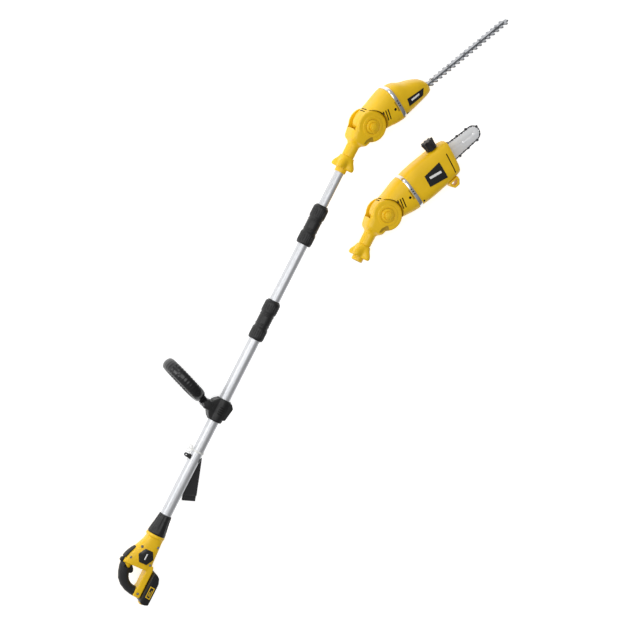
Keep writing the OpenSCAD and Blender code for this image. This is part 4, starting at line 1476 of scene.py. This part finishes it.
@dataclass
class MotorHousing:
    """Yellow motor housing in two halves, with its steel ring."""

    head: str
    shop: Workshop
    ear_in: float = 26.6
    pocket: float = 51.4
    lift: float = 5.0
    parting: float = 0.15
    run: tuple[tuple[float, ...], ...] = (
        (-39, 10, 10, 16), (-36, 22, 20, 24), (-30, 31, 28, 26.2), (-20, 37, 34, 31), (-8, 41, 38, 40),
        (8, 43, 41, 45.5), (22, 44.5, 43.5, 46.5), (38, 47, 46.5, 47), (54, 51, 50, 47.4), (68, 54.5, 54, 47.6),
        (82, 57.5, 57, 47.8), (94, 59.4, 59, 47.8), (102, 60, 59.6, 47.8))

    def build(self) -> bpy.types.Object:
        """Make the halves and the ring."""
        stations = [Station(x, 0, up, down, half, 2.9) for x, up, down, half in self.run]
        form = loft(stations, 72)
        rim = [Station(102, 0, 60, 59.6, 47.8, 2.9), Station(102.6, 0, 58.6, 58.2, 46.6, 2.9),
               Station(114, 0, 58.6, 58.2, 46.6, 2.9)]
        join(form, loft(rim, 72))
        whole = self.shop.solid(form, self.head + "_housing_form", [Finish.YELLOW, Finish.GOLD, Finish.DARK])
        # The pocket and step cutters line their cuts with darker yellow, and the vents and screw hole with
        # near-black: painted shade in the recesses.
        cuts = []
        for side in (1, -1):
            ends = sorted((self.ear_in * side, 80 * side))
            cuts.append(self.shop.solid(moved(drum(self.pocket, ends[0], ends[1], 0.01, 128),
                                              upright(0, -self.lift)), f"pocket_{side}", [Finish.GOLD]))
        for i, x in enumerate((47.5, 56, 64.5)):
            slot = brick((-1.9, -17, 36), (1.9, 17, 60), 0.8)
            cuts.append(self.shop.solid(moved(slot, Matrix.Translation((x, -1 - i * 1.6, 0)) @ Matrix.Rotation(
                math.radians(-13), 4, "Z")), f"vent_{i}", [Finish.DARK]))
        for i, x in enumerate((9, 17)):
            cuts.append(self.shop.solid(brick((x, 36, -16), (x + 3.4, 60, 16), 0.8), f"top_vent_{i}",
                                        [Finish.DARK]))
        cuts.append(self.shop.solid(rod((89, -4, 38), (89, -4, 60), 4.4), "screw_hole", [Finish.DARK]))
        cuts.append(self.shop.solid(plate([(94, -16), (101, -18), (101, 16), (97, 18), (97, -2)], 45.6, 60, 0.3),
                                    "step_cut", [Finish.GOLD]))
        carve(whole, cuts)
        middle = self.shop.place @ Vector((0, 0, 0))
        for side, hand in ((1, "right"), (-1, "left")):
            name = f"{self.head}_housing_{hand}"
            half = halve(whole, name + "_moulded", side > 0, middle + Vector((0, 0, side * self.parting * MM)),
                         Vector((0, 0, 1)))
            self.shop.finish(half, self.head + "_head", "yellow_plastic", [name], 34)
        bpy.data.objects.remove(whole)
        ring = loft([Station(102.4, 0, 58.9, 58.5, 46.9, 2.9), Station(102.4, 0, 60.6, 60.2, 48.3, 2.9),
                     Station(103.4, 0, 61.2, 60.8, 48.8, 2.9), Station(112.6, 0, 61.2, 60.8, 48.8, 2.9),
                     Station(113.6, 0, 60.6, 60.2, 48.3, 2.9), Station(113.6, 0, 58.9, 58.5, 46.9, 2.9)], 96, True)
        band = self.shop.solid(ring, self.head + "_steel_ring", [Finish.RING, Finish.DARK])
        # The mark notches are lined with near-black: painted shade inside them.
        marks = [self.shop.solid(plate([(105.6, -5 + i * 9), (110.4, -6 + i * 9), (110.4, -2 + i * 9),
                                        (105.6, -1 + i * 9)], 47.9, 60, 0.2), f"mark_{i}", [Finish.DARK])
                 for i in range(3)]
        carve(band, marks)
        self.shop.finish(band, self.head + "_head", "ring_metal", [self.head + "_ring"], 40)
        return band


# ---- Hedge-trimmer head ---------------------------------------------------------------------------


@dataclass
class HedgeHead:
    """Gear case with its badge, and the toothed blades on their bar."""

    shop: Workshop
    body: str = "hedge_head"
    blade_y: float = -30.0
    case_run: tuple[tuple[float, ...], ...] = (
        (113.8, 55, 56, 44.5), (121, 55, 56, 44.6), (129, 54.2, 56, 44), (137, 52, 55.6, 43), (147, 47.6, 55, 42),
        (158, 39, 54, 41), (170, 32.5, 53, 39.5), (184, 27, 52, 37.5), (196, 21.5, 51, 35.5), (207, 15.5, 50, 33),
        (216, 10, 49, 30.5), (223, 4, 47.5, 28), (229, -4, 45, 24.5), (232.5, -12, 42, 20), (234, -20, 38, 14))

    def build(self) -> None:
        """Make the case, the badge and the blades."""
        case = self.case()
        self.badge(case)
        self.blades()

    def case(self) -> bpy.types.Object:
        """The tapering gear case with a blade slot in its nose."""
        form = loft([Station(x, (up - down) / 2, (up + down) / 2, (up + down) / 2, half, 3.0)
                     for x, up, down, half in self.case_run], 72)
        case = self.shop.solid(form, "hedge_case_moulded", [Finish.YELLOW, Finish.DARK, Finish.GOLD])
        # The blade slot and screw hole are lined with near-black: painted shade inside them.
        cuts = [self.shop.solid(brick((196, self.blade_y - 5, -19), (260, self.blade_y + 9, 19), 1.0),
                                "blade_slot", [Finish.DARK]),
                self.shop.solid(rod((122, -46, 30), (122, -46, 60), 3.4), "case_screw_0", [Finish.DARK])]
        carve(case, cuts)
        return self.shop.finish(case, self.body, "yellow_plastic", ["hedge_gear_case"], 34)

    def badge(self, case: bpy.types.Object) -> None:
        """The dark plate on each side, with a pale stripe."""
        plates = None
        for side in (1, -1):
            for corners, lift, index in (
                    (((136, -29), (194, -32), (210, -14), (141, -4)), 1.3, 0),
                    (((151, -19.5), (184, -21.5), (186, -16), (151.5, -13.5)), 1.7, 1)):
                step = paint(decal(case, self.shop.place, corners, lift, 2.4, 14, side), index)
                plates = step if plates is None else join(plates, step)
        self.shop.piece(plates, "hedge_badge_plates", self.body, "black_plastic", [Finish.BADGE, Finish.STRIPE],
                        ["hedge_badge"], 40)

    def blades(self) -> None:
        """Two toothed blades, their bar and the screws, with ground edges."""
        soften_node(self.shop, "hedge_blade_upper", Finish.BLADE, 0.7, "steel", 1, 40)
        soften_node(self.shop, "hedge_blade_lower", Finish.BLADE, 0.7, "steel", 1, 40)
        soften_node(self.shop, "hedge_blade_bar", Finish.STEEL, 0.6, "steel", 2, 40)
        soften_node(self.shop, "hedge_blade_screws", Finish.STEEL, 0.4, "steel", 2, 40)


# ---- Pole-saw head --------------------------------------------------------------------------------


@dataclass
class SawHead:
    """Gear case, side cover, oil cap, hook, guide bar and chain."""

    shop: Workshop
    body: str = "saw_head"
    bar_z: float = -18.0
    wheels: tuple[tuple[float, float, float], ...] = ((165, 5, 14), (270, 5, 28), (391, 5, 22))
    pitch: float = 9.53
    nut_at: Point = (210, 5)
    case_run: tuple[tuple[float, ...], ...] = (
        (113.8, 57.5, 57.5, 44.6, 0), (122, 60, 58.5, 44.8, 0), (138, 61.5, 60, 44.8, 0), (160, 62.5, 60.5, 44.6, 0),
        (185, 62.8, 60.2, 44, 0), (210, 62.5, 59.5, 43.2, 0), (234, 61.5, 58.5, 42, -3), (258, 60, 57.5, 40.4, -6),
        (273, 58.8, 56.8, 39, -8), (281, 57.5, 55.6, 37.4, -9), (285, 55.5, 53.6, 35, -9), (287, 52, 50, 31, -9))

    def build(self) -> None:
        """Make every piece of the saw."""
        case = self.case()
        self.badge(case)
        self.cap()
        self.bar()
        self.chain()

    def case(self) -> bpy.types.Object:
        """The case, parted into the gear case and the side cover."""
        form = loft([Station(x, 0, up, down, half, 3.6, turn) for x, up, down, half, turn in self.case_run], 88)
        whole = self.shop.solid(form, "saw_case_form", [Finish.YELLOW, Finish.DARK])
        # The slots, chain room and screw hole are lined with near-black: painted shade inside them.
        cuts = [self.shop.solid(brick((241, -56, self.bar_z - 6), (315, 66, self.bar_z + 6), 1.0), "bar_slot",
                                [Finish.DARK]),
                self.shop.solid(brick((240, -44, -23), (283, 57, self.bar_z + 4), 0.5), "chain_room", [Finish.DARK]),
                self.shop.solid(rod((122, -44, 36), (122, -44, 60), 3.4), "case_screw", [Finish.DARK])]
        slot = brick((-1.9, -35, 30), (1.9, 35, 60), 0.8)
        cuts.append(self.shop.solid(moved(slot, Matrix.Translation((262.7, -6.7, 0)) @ Matrix.Rotation(
            math.radians(-8), 4, "Z")), "face_slot", [Finish.DARK]))
        carve(whole, cuts)
        at = self.shop.place @ Vector((0, 0, -13.15))
        case = halve(whole, "saw_case_moulded", True, at, Vector((0, 0, 1)))
        cover = halve(whole, "saw_cover_moulded", False, at - Vector((0, 0, 0.0002)), Vector((0, 0, 1)))
        bpy.data.objects.remove(whole)
        self.shop.finish(cover, self.body, "yellow_plastic", ["saw_side_cover"], 34)
        return self.shop.finish(case, self.body, "yellow_plastic", ["saw_gear_case"], 34)

    def badge(self, case: bpy.types.Object) -> None:
        """The dark tapered plate with its pale stripe."""
        outline = ((162, -20.7), (227.4, -34.4), (232, 22.6), (166.5, 18))
        band = ((177.2, -1.4), (219.8, -9.2), (219.8, -1.2), (177.2, 6.6))
        plates = paint(decal(case, self.shop.place, outline, 1.4, 2.6, 14), 0)
        stripe = decal(case, self.shop.place, band, 1.8, 2.4, 12)
        self.shop.piece(join(plates, paint(stripe, 1)), "saw_badge_plate", self.body, "black_plastic",
                        [Finish.BADGE, Finish.STRIPE], ["saw_badge"], 40)

    def cap(self) -> None:
        """The lobed oil filler cap, the hook with its window, and the nut that clamps the bar."""
        cap = ripple(drum(18.2, 7.5, 36.8, 2.0, 160, 1.2), 8, lambda x, r: 4.6 if r > 12 and x > 12 else 0.0)
        join(cap, drum(8.6, 0, 8, 0.4, 48))
        join(cap, turned([(7, 10), (7, 19.2), (12.6, 19.2), (13.4, 18.2), (13.4, 10)], 72))
        place = Matrix.Translation((245, 56.5, 14)) @ Matrix.Rotation(math.radians(90), 4, "Z")
        self.shop.piece(moved(cap, place), "oil_filler_cap", "oil_cap", "black_plastic", [Finish.BLACK],
                        ["oil_cap"], 42)
        soften_node(self.shop, "saw_hook", Finish.YELLOW, 1.2, "yellow_plastic")
        nut = moved(drum(8.4, -49.5, -42.5, 1.0, 6), upright(*self.nut_at))
        join(nut, moved(drum(12, -44.8, -43.0, 0.6, 48), upright(*self.nut_at)))
        self.shop.piece(nut, "bar_nut", self.body, "steel", [Finish.STEEL])

    def bar(self) -> None:
        """The pale guide bar."""
        soften_node(self.shop, "guide_bar", Finish.BAR, 0.7, "bar_steel", 2, 40)

    def rim(self, grow: float) -> list[Point]:
        """The line round the wheels, moved outwards by an amount."""
        points = []
        for degree in range(0, 360, 2):
            n = (math.cos(math.radians(degree)), math.sin(math.radians(degree)))
            x, y, r = max(self.wheels, key=lambda w: w[0] * n[0] + w[1] * n[1] + w[2])
            points.append((x + (r + grow) * n[0], y + (r + grow) * n[1]))
        return points

    def chain(self) -> None:
        """Side links, drive links, rivets and cutters round the bar."""
        stops = evenly(self.rim(2.0), self.pitch)
        links = None
        for i, ((x, y), (dx, dy)) in enumerate(stops):
            place = Matrix.Translation((x, y, self.bar_z)) @ Matrix.Rotation(math.atan2(-dy, -dx), 4, "Z")
            parts = []
            half = self.pitch * 0.56
            outer = [(-half, 0.4), (-half + 1.4, -1.9), (half - 1.4, -1.9), (half, 0.4), (half - 1.2, 2.5),
                     (-half + 1.2, 2.5)]
            if i % 2:
                parts += [plate(outer, 0.9, 2.1), plate(outer, -2.1, -0.9)]
            else:
                drive = outer[3:] + outer[:1] + [(-1.6, -1.6), (0, -2.4), (1.6, -1.6)]
                parts.append(plate(drive, -0.75, 0.75))
            if i % 4 == 1:
                side = 1 if i % 8 == 1 else -1
                tooth = [(-4.6, 2.3), (1.2, 2.3), (2.2, 5.6), (-0.8, 6.2), (-4.8, 4.9)]
                parts.append(plate(tooth, min(0.4 * side, 2.6 * side), max(0.4 * side, 2.6 * side)))
                parts.append(plate([(2.8, 2.3), (5.0, 2.3), (4.6, 4.6), (3.4, 4.9)],
                                   min(0.9 * side, 2.1 * side), max(0.9 * side, 2.1 * side)))
            parts.append(rod((half * 0.45, 0.2, -2.7), (half * 0.45, 0.2, 2.7), 1.15, 8))
            for part in parts:
                moved(part, place)
                links = part if links is None else join(links, part)
        self.shop.piece(links, "chain_links", self.body, "steel", [Finish.CHAIN], ["saw_chain"], 30)


# ---- CAD nodes that stay ----------------------------------------------------------------------

DRESS: dict[str, Finish] = {
    "trigger_switch": Finish.STEEL, "battery_terminals": Finish.BLACK, "battery_cells": Finish.CAN,
    "lower_collet": Finish.BLACK, "upper_collet": Finish.BLACK, "coiled_cable": Finish.CABLE,
    "pole_plug": Finish.BLACK, "hedge_motor": Finish.CAN, "saw_motor": Finish.CAN,
    "hedge_drive_gear": Finish.STEEL, "saw_sprocket": Finish.STEEL,
}


def dress_nodes(chosen: dict[str, Finish]) -> None:
    """Give the CAD nodes that stay their finishes.

    Args:
        chosen: The finish of each node.
    """
    for node, finish in chosen.items():
        mesh = frame["nodes"][node].data
        mesh.materials.clear()
        mesh.materials.append(SHELF[finish])


# ---- The whole tool -------------------------------------------------------------------------------


def main() -> None:
    """Build the studio and every assembly, in order, and report each."""
    logging.basicConfig(level=logging.INFO, format="%(name)s: %(message)s")
    places = Places()
    tool = places.tool()
    Studio().build(tool)
    builders: list[tuple[str, Callable[[], object]]] = [
        ("rear handle", RearHandle(Workshop(tool)).build),
        ("battery", BatteryPack(Workshop(tool)).build),
        ("pole", TelescopingPole(Workshop(tool)).build),
        ("loop handle", LoopHandle(Workshop(tool)).build),
        ("carry strap", CarryStrap(Workshop(tool)).build),
    ]
    for head in ("hedge", "saw"):
        neck, motor = Workshop(places.neck(head)), Workshop(places.head(head))
        builders.append((head + " neck", NeckJoint(head, neck, motor).build))
        builders.append((head + " motor housing", MotorHousing(head, motor).build))
    builders.append(("hedge head", HedgeHead(Workshop(places.head("hedge"))).build))
    builders.append(("saw head", SawHead(Workshop(places.head("saw"))).build))
    for name, build in builders:
        build()
        LOG.info("%s done", name)
    dress_nodes(DRESS)


if __name__ == "__main__":
    main()
